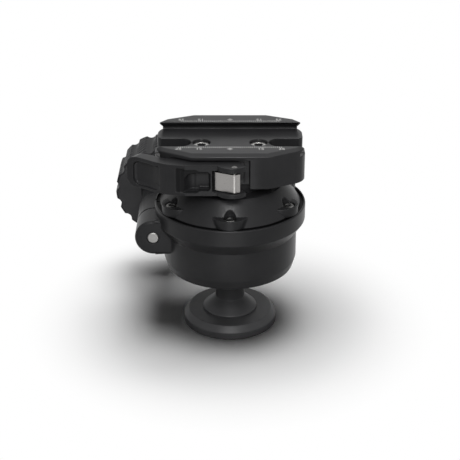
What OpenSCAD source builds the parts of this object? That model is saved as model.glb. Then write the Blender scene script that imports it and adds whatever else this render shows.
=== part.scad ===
// Inverted ball head with a lever-release dovetail clamp.
// Origin at the centre of the underside of the base disc, +Z up, the lever side faces -Y.
// All lengths are millimetres and all angles are degrees.

/* [Base] */
// Radius of the base disc
disc_r = 24.5; // [20:0.5:32]
// Thickness of the base disc
disc_h = 7; // [6:0.5:10]
// Width of the chamfer round the top of the disc
disc_chamfer_w = 2.7; // [1:0.1:4]
// Height of the chamfer round the top of the disc
disc_chamfer_h = 3.1; // [1:0.1:4]
// Small chamfer round the foot of the disc
disc_foot_chamfer = 0.5; // [0.2:0.1:1]
// Major diameter of the tripod thread, 3/8 inch
tripod_thread_d = 9.525; // [6.35:0.005:9.525]
// Depth of the tripod thread
tripod_thread_depth = 12; // [8:0.5:16]
// Number of countersunk screws between disc and stem
base_screw_count = 3; // [3:1:4]
// Radius of the circle of base screws
base_screw_circle_r = 10.2; // [10:0.05:10.5]
// Nominal diameter of the base screws
base_screw_d = 2.5; // [2:0.5:2.5]

/* [Stem] */
// Radius of the flare that stands on the disc
flare_r = 14.2; // [12.8:0.1:16]
// Height of the straight edge of the flare
flare_h = 1; // [0.6:0.1:2]
// Height of the cone above the flare
flare_cone_h = 5.8; // [4:0.1:9]
// Radius of the neck
neck_r = 7.7; // [6.8:0.1:8.2]
// Radius of the spigot that sits in the disc
foot_spigot_r = 7.5; // [6.5:0.1:7.6]
// Radius of the spigot that carries the ball
ball_spigot_r = 6; // [5:0.1:6.4]

/* [Ball] */
// Radius of the ball
ball_r = 22.5; // [20:0.25:23.5]
// Height of the ball centre above the underside of the disc
ball_z = 55; // [53:0.5:60]
// Height of the flat under the ball screw, above the ball centre
ball_counterbore_rise = 15; // [13:0.5:16]
// Radius of the counterbore for the ball screw
ball_counterbore_r = 7; // [6.8:0.1:9]
// Nominal diameter of the ball screw
ball_screw_d = 6; // [5:0.5:6]
// Length of the ball screw below its head
ball_screw_len = 16; // [12:1:20]
// Thickness of the washer under the ball screw
ball_washer_t = 1.2; // [0.8:0.1:2]

/* [Seats] */
// Outer radius of both ball seats
seat_r = 27; // [25.5:0.25:28]
// Height of each ball seat
seat_h = 12.9; // [10:0.1:13.2]
// Height of the gap between the two seats
seat_gap = 4; // [3.4:0.2:6]
// Width of the slit that lets a seat close
seat_slit = 1; // [0.6:0.1:2]

/* [Housing] */
// Height of the top face of the housing above the ball centre
housing_rise = 14; // [13.6:0.1:15]
// Radius of the flange band
flange_r = 38.5; // [38:0.25:41]
// Height of the flange band
flange_h = 8.5; // [6:0.5:11]
// Height of the cone under the flange
flange_cone_h = 6.2; // [4:0.1:7]
// Radius of the straight wall
wall_r = 34.2; // [33:0.1:36]
// Height of the taper at the foot of the wall
foot_taper_h = 5.4; // [3:0.1:7]
// Width of the taper at the foot of the wall
foot_taper_w = 1.6; // [0.5:0.1:2.5]
// Depth of the housing from its top face to its foot
housing_h = 34.9; // [34:0.1:37]
// Radius of the mouth at the foot
mouth_r = 21.5; // [20:0.25:24]
// Radius of the mouth at the seat shoulder
mouth_shoulder_r = 18.5; // [17.5:0.25:20]
// Width of the groove between the rim and the cap
rim_groove_w = 2.2; // [1:0.1:2.4]
// Depth of the groove between the rim and the cap
rim_groove_depth = 1.4; // [0.5:0.1:2]
// Width of the clamping slit
slit_w = 1; // [0.6:0.1:2]

/* [Lock screw] */
// Distance of the lock screw from the ball axis
lock_x = 38.8; // [38:0.1:42]
// Radius of the clamping lug
lug_r = 9.2; // [8:0.1:10.5]
// Reach of the lug to the front
lug_front = 17; // [14:0.5:20]
// Reach of the lug to the rear
lug_rear = 20; // [17:0.5:22]
// Chamfer round the front face of the lug
lug_chamfer = 1; // [0.5:0.1:1.5]
// Nominal diameter of the lock screw
lock_d = 6; // [5:0.5:7]
// Thickness of the thrust washer
thrust_t = 1.45; // [1:0.05:2]
// Radius of the thrust washer
thrust_r = 7.5; // [6:0.25:8.5]

/* [Knob] */
// Radius of the knob over its pads
knob_r = 23.7; // [20:0.1:26]
// Length of the grip
knob_len = 26; // [20:0.5:32]
// Radius of the knob hub
hub_r = 8.8; // [8:0.1:11]
// Clearance between the knob hub and the housing
hub_clear = 0.6; // [0.3:0.1:1]
// Length of the knob hub
hub_len = 20.5; // [16:0.5:24]
// Number of pads round the grip
knob_pads = 15; // [9:1:21]
// Radius of the cutter that makes a valley
valley_r = 2.95; // [2:0.05:5]
// Depth of a valley
valley_depth = 1.5; // [0.4:0.1:2.5]
// Chamfer at both ends of the grip
knob_chamfer = 0.9; // [0.5:0.1:2]
// Radius of the end cap in the knob
end_cap_r = 13; // [9:0.5:15]
// Thickness of the end cap
end_cap_t = 2.3; // [1.5:0.1:4]

/* [Cap] */
// Radius of the cone at the housing
cap_r = 35.9; // [35:0.1:37]
// Radius of the cone at its shoulder
cap_shoulder_r = 27.4; // [26:0.1:30]
// Height of the shoulder above the housing
cap_shoulder_h = 12; // [11.5:0.1:14]
// Radius of the pad that carries the clamp
pad_r = 21; // [19:0.1:21.2]
// Height of the pad above the shoulder
pad_h = 5.4; // [4.6:0.1:7]
// Number of cap screws
cap_screw_count = 6; // [4:1:6]
// Radius of the circle of cap screws
cap_screw_circle_r = 33.5; // [33:0.1:34]
// Nominal diameter of the cap screws
cap_screw_d = 3; // [2.5:0.5:3]
// Length of the cap screws below their heads
cap_screw_len = 9; // [6:1:11]
// Radius of a screw boss
boss_r = 8.9; // [8:0.1:9.5]
// Distance of a boss centre from the ball axis
boss_circle_r = 29.1; // [28.5:0.1:29.4]
// Height of a boss above the housing
boss_h = 4.6; // [4:0.1:5.4]
// Radius of the pocket round a cap screw head
cap_pocket_r = 3.15; // [3:0.05:3.4]

/* [Clamp] */
// Height of the clamp over its jaws
clamp_h = 18.3; // [17.6:0.1:22]
// Height of the jaws above the channel floor
jaw_h = 4.5; // [4.2:0.1:5.5]
// Half of the length of the clamp
end_x = 36.8; // [34.5:0.1:42]
// Half of the width of the clamp
side_y = 27.9; // [27:0.1:32]
// Half of the length of the straight front and rear edges
edge_x = 18.4; // [15:0.1:22]
// Half of the length at the foot of the slanting edges
slant_x = 33.2; // [30:0.1:33.8]
// Half of the width at the foot of the slanting edges
slant_y = 20.3; // [19.4:0.1:22]
// Half of the width of the end faces
end_y = 16.6; // [15:0.1:18]
// Half of the length of the straight rear edge
rear_edge_x = 18.9; // [15:0.1:22]
// Half of the length at the foot of the slanting rear edges
rear_slant_x = 32.6; // [30:0.1:33.8]
// Half of the width at the foot of the slanting rear edges
rear_slant_y = 21.8; // [20:0.1:23]
// Width of the chamfer along the top of the moving jaw
jaw_chamfer_w = 1.8; // [0.8:0.1:2.4]
// Height of the chamfer along the top of the moving jaw
jaw_chamfer_h = 1.4; // [0.6:0.1:2]
// Width of the chamfer along the top of the fixed jaw
rear_chamfer_w = 0.8; // [0.5:0.1:2.4]
// Height of the chamfer along the top of the fixed jaw
rear_chamfer_h = 0.8; // [0.5:0.1:2]
// Half of the clear width between the jaw lips
lip_y = 16.7; // [16.5:0.05:17]
// Height of the upright edge of a lip
lip_h = 0.8; // [0.4:0.1:1]
// Depth of the dovetail undercut
undercut = 2.5; // [2:0.1:2.7]
// Distance of the joint between base and moving jaw in front of the ball axis
split_y = 14; // [13.4:0.1:14.4]
// Gap between base and moving jaw when the clamp is shut
split_gap = 0.3; // [0.2:0.05:0.6]
// Width of the stop notch in each end
notch_w = 11; // [8:0.5:12]
// Distance of the round end of a stop notch from the middle
notch_x = 19.5; // [19.2:0.1:22]
// Radius of the flare where a stop notch leaves its end
notch_flare = 2.6; // [0.5:0.1:4]
// Depth of a stop notch
notch_depth = 6; // [4:0.25:6.5]
// Distance of the clamp screws from the middle
clamp_screw_x = 14.3; // [13.5:0.1:14.4]
// Nominal diameter of the clamp screws
clamp_screw_d = 5; // [4:0.5:5]
// Length of the clamp screws below their heads
clamp_screw_len = 15; // [13:0.5:15]
// Depth of the screw heads below the channel floor
clamp_screw_sink = 1.2; // [0.8:0.1:1.6]
// Distance of the dowels from the middle, along the channel
dowel_x = 10; // [7:0.5:12]
// Distance of the dowels behind the ball axis
dowel_y = 12; // [10:0.5:13]
// Radius of the dowels
dowel_r = 1.5; // [1:0.25:2]
// Length of the dowels
dowel_len = 7; // [5:0.5:7.5]

/* [Moving jaw] */
// Left wall of the full-height block of the moving jaw
block_x = 9.6; // [9.5:0.1:12]
// Distance of the lever recess wall in front of the ball axis
recess_y = 22; // [21.8:0.1:22.4]
// Thickness of the lip above the lever recess
recess_lip_t = 3.2; // [3:0.1:3.6]
// Distance of the guide pins from the middle
guide_x = 26; // [24:0.5:27]
// Height of the guide pins above the underside of the clamp
guide_z = 3.8; // [3.6:0.1:4.2]
// Radius of the guide pins
guide_r = 1.75; // [1.5:0.05:1.8]
// Length of the guide pins
guide_len = 23; // [18:0.5:26]
// Length of a guide pin in the jaw
guide_hold = 6.5; // [5:0.25:6.6]
// Radius of the pocket round a jaw spring
spring_pocket_r = 3.3; // [3.2:0.05:3.5]
// Depth of the pocket round a jaw spring
spring_pocket_len = 6; // [5:0.25:8]
// Mean radius of a jaw spring
jaw_spring_r = 2.55; // [2.5:0.01:2.6]
// Radius of the wire of a jaw spring
jaw_spring_wire_r = 0.35; // [0.25:0.05:0.4]
// Number of turns of a jaw spring
jaw_spring_turns = 4; // [3:1:4]
// Thickness of the wear plate under the cam
wear_plate_t = 0.8; // [0.5:0.1:1.2]
// Length of the wear plate
wear_plate_len = 13; // [12:0.5:15]
// Height of the wear plate
wear_plate_h = 10.5; // [9:0.5:11.5]

/* [Lever] */
// Distance of the lever pivot to the right of the ball axis
pivot_x = 1; // [0.8:0.1:1.1]
// Distance of the lever pivot in front of the recess wall
pivot_y = 6; // [5.95:0.05:6.4]
// Radius of the cam
cam_r = 4.8; // [4.4:0.05:4.8]
// Eccentric throw of the cam
cam_throw = 2.2; // [1.8:0.05:2.2]
// Angle that opens the lever fully
lever_open = 60; // [50:1:60]
// Clearance between cam and wear plate
cam_clear = 0.1; // [0.05:0.05:0.3]
// Underside of the lever, below the underside of the clamp
lever_drop = 1.4; // [0.8:0.1:2]
// Height of the lever
lever_h = 15.8; // [14.6:0.1:16]
// Radius of the round boss at the pivot
lever_boss_r = 8.2; // [7.6:0.1:8.3]
// Distance of the lever front face in front of the recess wall
lever_face_y = 10.2; // [9.6:0.1:10.6]
// Clearance behind the lever arm
lever_back = 0.6; // [0.4:0.1:1]
// Length of the straight arm from the pivot
lever_arm = 32; // [28:0.5:34]
// Length of the taper in front of the knee of the tail
knee_run = 9.4; // [7:0.1:11]
// Set-back of the knee of the tail
knee_y = 1.9; // [1.4:0.1:2.4]
// Length of the first bend of the tail
tail_bend_x = 5.5; // [4:0.1:7]
// Set-back of the first bend of the tail
tail_bend_y = 3; // [2.4:0.1:4]
// Length of the slanting run of the tail
tail_run_x = 8; // [6:0.1:10]
// Set-back of the slanting run of the tail
tail_run_y = 5.7; // [5:0.1:6.4]
// Length of the tip of the tail
tail_tip_x = 6; // [4:0.1:9]
// Set-back of the tip of the tail
tail_tip_y = 2.4; // [1:0.1:3.4]
// Thickness of the tail
tail_t = 5.8; // [5:0.1:6.2]
// Radius of the corners of the tail
tail_corner_r = 4.8; // [3:0.1:7]
// Depth of the thumb dish
dish_depth = 1.6; // [0.4:0.1:2]
// Radius of the thumb dish
dish_r = 26; // [18:1:40]
// Width of the rim above the thumb dish
dish_rim = 2; // [1.2:0.1:3]
// Width of the rim below the thumb dish
dish_rim_low = 1.2; // [1:0.1:2.4]
// Distance of the outer end of the thumb dish from its middle
dish_end = 8; // [6:0.1:8.4]
// Radius of the outer corners of the thumb dish
dish_corner_r = 3.4; // [1:0.1:4]
// Height of the slot between the cheeks
lever_slot_h = 11; // [10.6:0.1:11.4]
// Underside of the slot, above the underside of the lever
lever_slot_z = 2.1; // [1.8:0.1:2.8]
// Length of the slot to the left of the pivot
lever_slot_len = 9.5; // [9.4:0.1:10.2]
// Radius of the lever pin
lever_pin_r = 2; // [1.6:0.1:2.2]
// Depth of the finger scoop
scoop_depth = 2.8; // [2:0.1:3]
// Depth of the ledge round the hollow of the finger scoop
scoop_ledge = 0.9; // [0.5:0.1:1.4]
// Height of the ledge above the hollow of the finger scoop
scoop_ledge_h = 2.3; // [1:0.1:3]
// Length of the curve that leads into the hollow of the finger scoop
scoop_curve = 4.2; // [3:0.1:5]
// Radius of the upper corner of the hollow of the finger scoop
scoop_corner_r = 4; // [1:0.1:4]
// Wall between the finger scoop and the slot
scoop_rib = 0.9; // [0.6:0.1:1.5]
// Left end of the finger scoop from the pivot
scoop_left = 26.6; // [24:0.1:28]
// Crest of the finger scoop from the pivot
scoop_crest = 22.8; // [20:0.1:23.6]
// Place where the finger scoop narrows, from the pivot
scoop_step = 16.4; // [14:0.1:18]
// Height of the wide part of the finger scoop
scoop_h = 11.8; // [9:0.1:12.4]
// Height of the narrow part of the finger scoop
scoop_narrow_h = 10; // [7:0.1:10.6]

/* [Draw bolt] */
// Radius of the eye of the draw bolt
eye_r = 3.4; // [3.2:0.05:3.5]
// Height of the eye
eye_h = 8.6; // [7:0.1:9.4]
// Radius of the shank
shank_r = 2.5; // [2:0.1:2.6]
// Distance of the far end of the shank in front of the ball axis
shank_end_y = 1; // [0.5:0.1:2]
// Distance across the flats of the nut
nut_flats = 8; // [7:0.1:8.4]
// Thickness of the nut
nut_t = 4; // [3:0.1:5]
// Distance of the far face of the nut in front of the ball axis
nut_y = 1.8; // [1.6:0.1:2.5]

/* [Latch] */
// Distance of the latch pin to the right of the pivot
latch_pin_x = 1.1; // [0.9:0.1:1.3]
// Distance of the latch pin in front of the pivot
latch_pin_y = 5.4; // [5.3:0.05:5.6]
// Radius of the latch pin
latch_pin_r = 0.8; // [0.6:0.05:0.9]
// Bore of the hollow latch pin
latch_pin_bore_r = 0.45; // [0.3:0.05:0.5]
// Radius of the head of the latch pin
latch_pin_head_r = 1.4; // [1.2:0.05:1.6]
// Height of the head of the latch pin
latch_pin_head_h = 0.6; // [0.4:0.1:1]
// Height of the latch
latch_h = 9.6; // [9:0.1:9.9]
// Clearance under the latch
latch_lift = 0.3; // [0.2:0.05:0.6]
// Length of the left wing of the latch from its pin
latch_wing = 9.5; // [8.6:0.1:9.8]
// Thickness of the latch wing
latch_t = 2; // [1.6:0.1:2.2]
// Reach of the latch in front of its pin
latch_front = 1.4; // [1.3:0.05:1.6]
// Reach of the latch to the right of its pin
latch_nose = 2.8; // [2.6:0.05:2.85]
// Set-back of the left end of the latch from its pin
latch_setback = 2.7; // [2.5:0.1:2.9]
// Wall of the latch round its pin
latch_wall = 0.6; // [0.5:0.05:0.7]
// Radius of the latch spring
latch_spring_r = 1.2; // [1:0.05:1.4]
// Radius of the wire of the latch spring
latch_spring_wire_r = 0.2; // [0.15:0.05:0.25]
// Number of turns of the latch spring
latch_spring_turns = 4; // [3:1:4]

/* [Fits] */
// Radial clearance where one piece turns or slides in another
run_clear = 0.05; // [0.03:0.01:0.1]
// Radial clearance of threads and pressed pieces
thread_clear = 0.02; // [0.01:0.01:0.05]
// Radial clearance of through holes for screws
through_clear = 0.25; // [0.15:0.05:0.4]
// Clearance between flat faces that move past each other
face_clear = 0.2; // [0.1:0.05:0.4]
// Play between flat faces that bear on each other
bear_clear = 0.05; // [0.03:0.01:0.1]

/* [Hidden] */
$fn = 72;
e = 1;

// Colours
black_alu = [0.13, 0.13, 0.14];
dark_alu = [0.18, 0.18, 0.19];
steel = [0.72, 0.72, 0.73];
bright_alu = [0.62, 0.61, 0.60];
acetal = [0.85, 0.84, 0.80];

// Base and stem
thread_r = tripod_thread_d / 2;
flare_top_z = disc_h + flare_h;
neck_z = flare_top_z + flare_cone_h;
base_screw_r = base_screw_d / 2;
base_head_r = base_screw_d * 0.94;
base_head_h = base_head_r - base_screw_r;
base_screw_tip_z = disc_h + 2.3;
ball_flat_r = neck_r + 0.5;
ball_flat_z = ball_z - sqrt(ball_r * ball_r - ball_flat_r * ball_flat_r);
ball_floor_z = ball_z + ball_counterbore_rise;
spigot_top_z = ball_floor_z + bear_clear;
ball_washer_r = ball_counterbore_r - 0.3;
ball_screw_r = ball_screw_d / 2;
ball_head_r = ball_screw_d * 0.83;
ball_head_h = ball_screw_d * 0.55;
ball_head_z = spigot_top_z + ball_washer_t;

// Seats and housing
seat_bore_r = ball_r + run_clear;
housing_bore_r = seat_r + run_clear;
lower_seat_z = ball_z - seat_gap / 2 - seat_h + 1;
upper_seat_z = ball_z + seat_gap / 2 + 1.1;
shoulder_z = lower_seat_z - bear_clear;
housing_top_z = ball_z + housing_rise;
housing_foot_z = housing_top_z - housing_h;
flange_foot_z = housing_top_z - flange_h;
wall_top_z = flange_foot_z - flange_cone_h;
rim_edge = 0.5;
rim_land = 0.2;
groove_out_r = flange_r - rim_edge - rim_land;
lock_r = lock_d / 2;

// Knob
thrust_y = lug_rear + bear_clear;
hub_y = thrust_y + thrust_t + bear_clear;
grip_y = hub_y + hub_len;
knob_end_y = grip_y + knob_len;
end_cap_y = knob_end_y - end_cap_t;
lock_end_y = end_cap_y - 4;

// Cap
cap_z = housing_top_z;
cap_shoulder_z = cap_z + cap_shoulder_h;
clamp_z = cap_shoulder_z + pad_h;
seat_stop_z = upper_seat_z + seat_h + bear_clear;
cap_cavity_r = ball_r + 3.1;
cap_screw_r = cap_screw_d / 2;
cap_head_r = cap_screw_d * 0.917;
cap_head_h = cap_screw_d * 0.667;
boss_top_z = cap_z + boss_h;
cap_head_z = boss_top_z - 0.3 - cap_head_h;

// Clamp
clamp_top_z = clamp_z + clamp_h;
floor_z = clamp_top_z - jaw_h;
lip_z = clamp_top_z - lip_h;
groove_y = lip_y + undercut;
groove_z = lip_z - undercut;
notch_r = notch_w / 2;
notch_run = end_x + e - notch_x - notch_r;
notch_side = [for (i = [0:4])
  [end_x - notch_flare, notch_r + notch_flare - 0.1] + notch_flare * [sin(22.5 * i), -cos(22.5 * i)]];
notch_mouth = concat(
  notch_side, [[end_x + e, notch_side[4].y], [end_x + e, -notch_side[4].y]],
  [for (i = [4:-1:0]) [notch_side[i].x, -notch_side[i].y]]
);
clamp_screw_r = clamp_screw_d / 2;
clamp_head_r = clamp_screw_d * 0.85;
clamp_head_h = clamp_screw_d;
clamp_head_z = floor_z - clamp_screw_sink - clamp_head_h;
clamp_tip_z = clamp_head_z - clamp_screw_len;
dowel_z = clamp_z - dowel_len / 2;
clamp_outline = [
  [edge_x, -side_y], [slant_x, -slant_y], [end_x, -end_y],
  [end_x, end_y], [rear_slant_x, rear_slant_y], [rear_edge_x, side_y],
  [-rear_edge_x, side_y], [-rear_slant_x, rear_slant_y], [-end_x, end_y],
  [-end_x, -end_y], [-slant_x, -slant_y], [-edge_x, -side_y]
];
front_edges = [0, 1, 9, 10, 11];
rear_edges = [3, 4, 5, 6, 7];

// Moving jaw
jaw_back_y = -split_y - split_gap;
jaw_z = clamp_z + face_clear;
recess_top_z = clamp_top_z - recess_lip_t;
guide_pin_z = clamp_z + guide_z;
guide_y = jaw_back_y - guide_hold;
spring_y = jaw_back_y;
spring_end_y = -split_y + spring_pocket_len;
spring_len = spring_end_y - spring_y - 2 * bear_clear;

// Lever and draw bolt
lever_z = clamp_z - lever_drop;
lever_top_z = lever_z + lever_h;
pivot = [pivot_x, -recess_y - pivot_y];
slot_z = lever_z + lever_slot_z;
slot_top_z = slot_z + lever_slot_h;
bolt_z = (slot_z + slot_top_z) / 2 + 0.25;
cam_centre = [cam_throw * cos(90 + lever_open), cam_throw * sin(90 + lever_open)];
cam_open_limit = pivot_y - 2 * cam_throw * sin(lever_open / 2) - 2 * face_clear;
boss_cut_x = cam_open_limit / cos(90 - lever_open);
boss_cut_y = (boss_cut_x - lever_boss_r - e) / tan(90 - lever_open);
arm_front = -(lever_face_y - pivot_y);
arm_back = pivot_y - lever_back;
tail_knee = [-lever_arm, arm_front + knee_y];
tail_bend_end = tail_knee + [-tail_bend_x, tail_bend_y];
tail_run_end = tail_bend_end + [-tail_run_x, tail_run_y];
tail_tip = tail_run_end + [-tail_tip_x, tail_tip_y];
tail_dir = [-tail_run_x, tail_run_y] / norm([tail_run_x, tail_run_y]);
tail_in = [tail_dir.y, -tail_dir.x];
wear_x = pivot_x - 0.9;
wear_z = bolt_z;
nut_r = nut_flats / 2 / cos(30);
web_front = 2.6;
web_right = -eye_r - 0.7;
latch_z = slot_z + latch_lift;
latch_head_z = lever_top_z - 0.2 - latch_pin_head_h;
latch_pin_at = [latch_pin_x, -latch_pin_y];
latch_spring_x = -6.4;
latch_spring_front = -1.5;

// Points along a coil, one list of centres
function coil_point(r, length, turns, steps, i) =
  [r * cos(360 * i / steps), r * sin(360 * i / steps), length * i / (steps * turns)];

// One ring of a tube round a point of the coil
function coil_ring(r, wire_r, length, turns, steps, sides, i) =
  let (turn = 360 * i / steps, c = coil_point(r, length, turns, steps, i))
  [for (k = [0:sides - 1])
    let (a = 360 * k / sides)
    c + wire_r * [cos(a) * cos(turn), cos(a) * sin(turn), sin(a)]];

// Least clear distance between neighbouring turns of a coil
function coil_gap(r, wire_r, length, turns, steps) =
  min([for (i = [0:steps * (turns - 1)])
    norm(coil_point(r, length, turns, steps, i + steps) - coil_point(r, length, turns, steps, i))])
  - 2 * wire_r;

echo(jaw_spring_gap = coil_gap(jaw_spring_r, jaw_spring_wire_r, spring_len - 2 * jaw_spring_wire_r,
  jaw_spring_turns, 8));
echo(latch_spring_gap = coil_gap(latch_spring_r, latch_spring_wire_r,
  web_front - latch_spring_front - 2 * latch_spring_wire_r, latch_spring_turns, 8));

// Coil spring along +Z as one closed tube
module coil(r, wire_r, length, turns, steps = 8, sides = 6) {
  rings = steps * turns;
  run = length - 2 * wire_r;
  points = [for (i = [0:rings]) each coil_ring(r, wire_r, run, turns, steps, sides, i)];
  sides_a = [for (i = [0:rings - 1], k = [0:sides - 1])
    [i * sides + k, i * sides + (k + 1) % sides, (i + 1) * sides + k]];
  sides_b = [for (i = [0:rings - 1], k = [0:sides - 1])
    [i * sides + (k + 1) % sides, (i + 1) * sides + (k + 1) % sides, (i + 1) * sides + k]];
  first = [for (k = [1:sides - 2]) [0, k + 1, k]];
  last = [for (k = [1:sides - 2]) [rings * sides, rings * sides + k, rings * sides + k + 1]];
  translate([0, 0, wire_r])
    polyhedron(points, concat(sides_a, sides_b, first, last));
}

// Socket head screw along -Z with the underside of its head at z = 0
module socket_screw(r, length, head_r, head_h) {
  difference() {
    union() {
      translate([0, 0, -length])
        cylinder(r = r, h = length + head_h / 2);
      cylinder(r = head_r, h = head_h - 0.3);
      translate([0, 0, head_h - 0.3])
        cylinder(r1 = head_r, r2 = head_r - 0.3, h = 0.3);
    }
    translate([0, 0, head_h * 0.45])
      cylinder(r = r * 0.96, h = head_h, $fn = 6);
  }
}

// Cylinder along +Y that starts at y0
module along_y(r, y0, y1) {
  translate([0, y0, 0])
    rotate([-90, 0, 0])
      cylinder(r = r, h = y1 - y0);
}

// Prism that takes the chamfer off the top edge from p to q, the inside on the left
module edge_chamfer(p, q, w, h) {
  length = norm(q - p);
  run = 2 * w;
  translate([p.x, p.y, clamp_top_z])
    rotate([0, 0, atan2(q.y - p.y, q.x - p.x)])
      translate([-run, 0, 0])
        rotate([90, 0, 90])
          linear_extrude(length + 2 * run)
            polygon([[-e, -h - e * h / w], [w + e * w / h, e], [-e, e]]);
}

// Outline of the clamp, full height, with its top edges chamfered
module clamp_blank() {
  difference() {
    translate([0, 0, clamp_z])
      linear_extrude(clamp_h)
        polygon(clamp_outline);
    for (i = front_edges)
      edge_chamfer(clamp_outline[i], clamp_outline[(i + 1) % len(clamp_outline)],
        jaw_chamfer_w, jaw_chamfer_h);
    for (i = rear_edges)
      edge_chamfer(clamp_outline[i], clamp_outline[(i + 1) % len(clamp_outline)],
        rear_chamfer_w, rear_chamfer_h);
    dovetail();
  }
}

// Dovetail channel through the clamp
module dovetail() {
  translate([-end_x - e, 0, 0])
    rotate([90, 0, 90])
      linear_extrude(2 * (end_x + e))
        polygon([
          [-lip_y, clamp_top_z + e], [-lip_y, lip_z], [-groove_y, groove_z], [-groove_y, floor_z],
          [groove_y, floor_z], [groove_y, groove_z], [lip_y, lip_z], [lip_y, clamp_top_z + e]
        ]);
}

// Places for the six cap screws
module at_cap_screws() {
  for (i = [0:cap_screw_count - 1])
    rotate([0, 0, -90 + i * 360 / cap_screw_count])
      children();
}

// Places for the guide pins, along +Y from the clamp axis
module at_guides() {
  for (side = [-1, 1])
    translate([side * guide_x, 0, guide_pin_z])
      children();
}

// Prism of the lever plan, points measured from the pivot
module lever_prism(points, z0, z1) {
  translate([pivot.x, pivot.y, z0])
    linear_extrude(z1 - z0)
      polygon(points);
}

// Upright cylinder at a point measured from the pivot
module lever_post(at, r, z0, z1) {
  translate([pivot.x + at.x, pivot.y + at.y, z0])
    cylinder(r = r, h = z1 - z0);
}

module base_disc() {
  color(black_alu)
    difference() {
      rotate_extrude()
        polygon([
          [0, 0], [disc_r - disc_foot_chamfer, 0], [disc_r, disc_foot_chamfer],
          [disc_r, disc_h - disc_chamfer_h], [disc_r - disc_chamfer_w, disc_h], [0, disc_h]
        ]);
      translate([0, 0, -e])
        cylinder(r = foot_spigot_r + thread_clear, h = disc_h + 2 * e);
      for (i = [0:base_screw_count - 1])
        rotate([0, 0, 90 + i * 360 / base_screw_count])
          translate([base_screw_circle_r, 0, 0]) {
            translate([0, 0, -e])
              cylinder(r = base_screw_r + through_clear, h = disc_h + 2 * e);
            translate([0, 0, -e])
              cylinder(r = base_head_r + bear_clear, h = e + 0.2);
            translate([0, 0, 0.2])
              cylinder(r1 = base_head_r + bear_clear, r2 = base_screw_r + bear_clear, h = base_head_h);
          }
    }
}

module stem() {
  color(black_alu)
    difference() {
      union() {
        rotate_extrude()
          polygon([
            [0, 0], [foot_spigot_r, 0], [foot_spigot_r, disc_h], [flare_r, disc_h],
            [flare_r, flare_top_z], [neck_r, neck_z], [neck_r, ball_flat_z - bear_clear],
            [ball_spigot_r, ball_flat_z - bear_clear], [ball_spigot_r, spigot_top_z], [0, spigot_top_z]
          ]);
      }
      translate([0, 0, -e])
        cylinder(r = thread_r, h = tripod_thread_depth + e);
      translate([0, 0, ball_head_z - ball_screw_len - e])
        cylinder(r = ball_screw_r + thread_clear, h = ball_screw_len + 2 * e);
      for (i = [0:base_screw_count - 1])
        rotate([0, 0, 90 + i * 360 / base_screw_count])
          translate([base_screw_circle_r, 0, disc_h - e])
            cylinder(r = base_screw_r + thread_clear, h = base_screw_tip_z + 0.1 - disc_h + e);
    }
}

module base_screws() {
  color(steel)
    for (i = [0:base_screw_count - 1])
      rotate([0, 0, 90 + i * 360 / base_screw_count])
        translate([base_screw_circle_r, 0, 0])
          difference() {
            union() {
              translate([0, 0, 0.2])
                cylinder(r1 = base_head_r, r2 = base_screw_r, h = base_head_h);
              translate([0, 0, 0.2 + base_head_h / 2])
                cylinder(r = base_screw_r, h = base_screw_tip_z - 0.2 - base_head_h / 2);
            }
            translate([0, 0, -e])
              cylinder(r = base_screw_r * 0.7, h = e + 1.2, $fn = 6);
          }
}

module ball() {
  color(dark_alu)
    difference() {
      translate([0, 0, ball_z])
        sphere(r = ball_r);
      translate([0, 0, ball_z - 2 * ball_r])
        cylinder(r = ball_r, h = ball_flat_z - ball_z + 2 * ball_r);
      translate([0, 0, ball_flat_z - e])
        cylinder(r = ball_spigot_r + run_clear, h = 2 * ball_r);
      translate([0, 0, ball_floor_z])
        cylinder(r = ball_counterbore_r, h = ball_r);
    }
}

module ball_washer() {
  color(steel)
    difference() {
      translate([0, 0, spigot_top_z])
        cylinder(r = ball_washer_r, h = ball_washer_t);
      translate([0, 0, spigot_top_z - e])
        cylinder(r = ball_screw_r + through_clear, h = ball_washer_t + 2 * e);
    }
}

module ball_screw() {
  color(steel)
    translate([0, 0, ball_head_z])
      socket_screw(ball_screw_r, ball_screw_len, ball_head_r, ball_head_h);
}

// Ring with a spherical inside and one slit
module ball_seat(z0) {
  difference() {
    translate([0, 0, z0])
      cylinder(r = seat_r, h = seat_h);
    translate([0, 0, ball_z])
      sphere(r = seat_bore_r);
    translate([0, -seat_slit / 2, z0 - e])
      cube([seat_r + e, seat_slit, seat_h + 2 * e]);
  }
}

module lower_ball_seat() {
  color(acetal)
    ball_seat(lower_seat_z);
}

module upper_ball_seat() {
  color(acetal)
    ball_seat(upper_seat_z);
}

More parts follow.
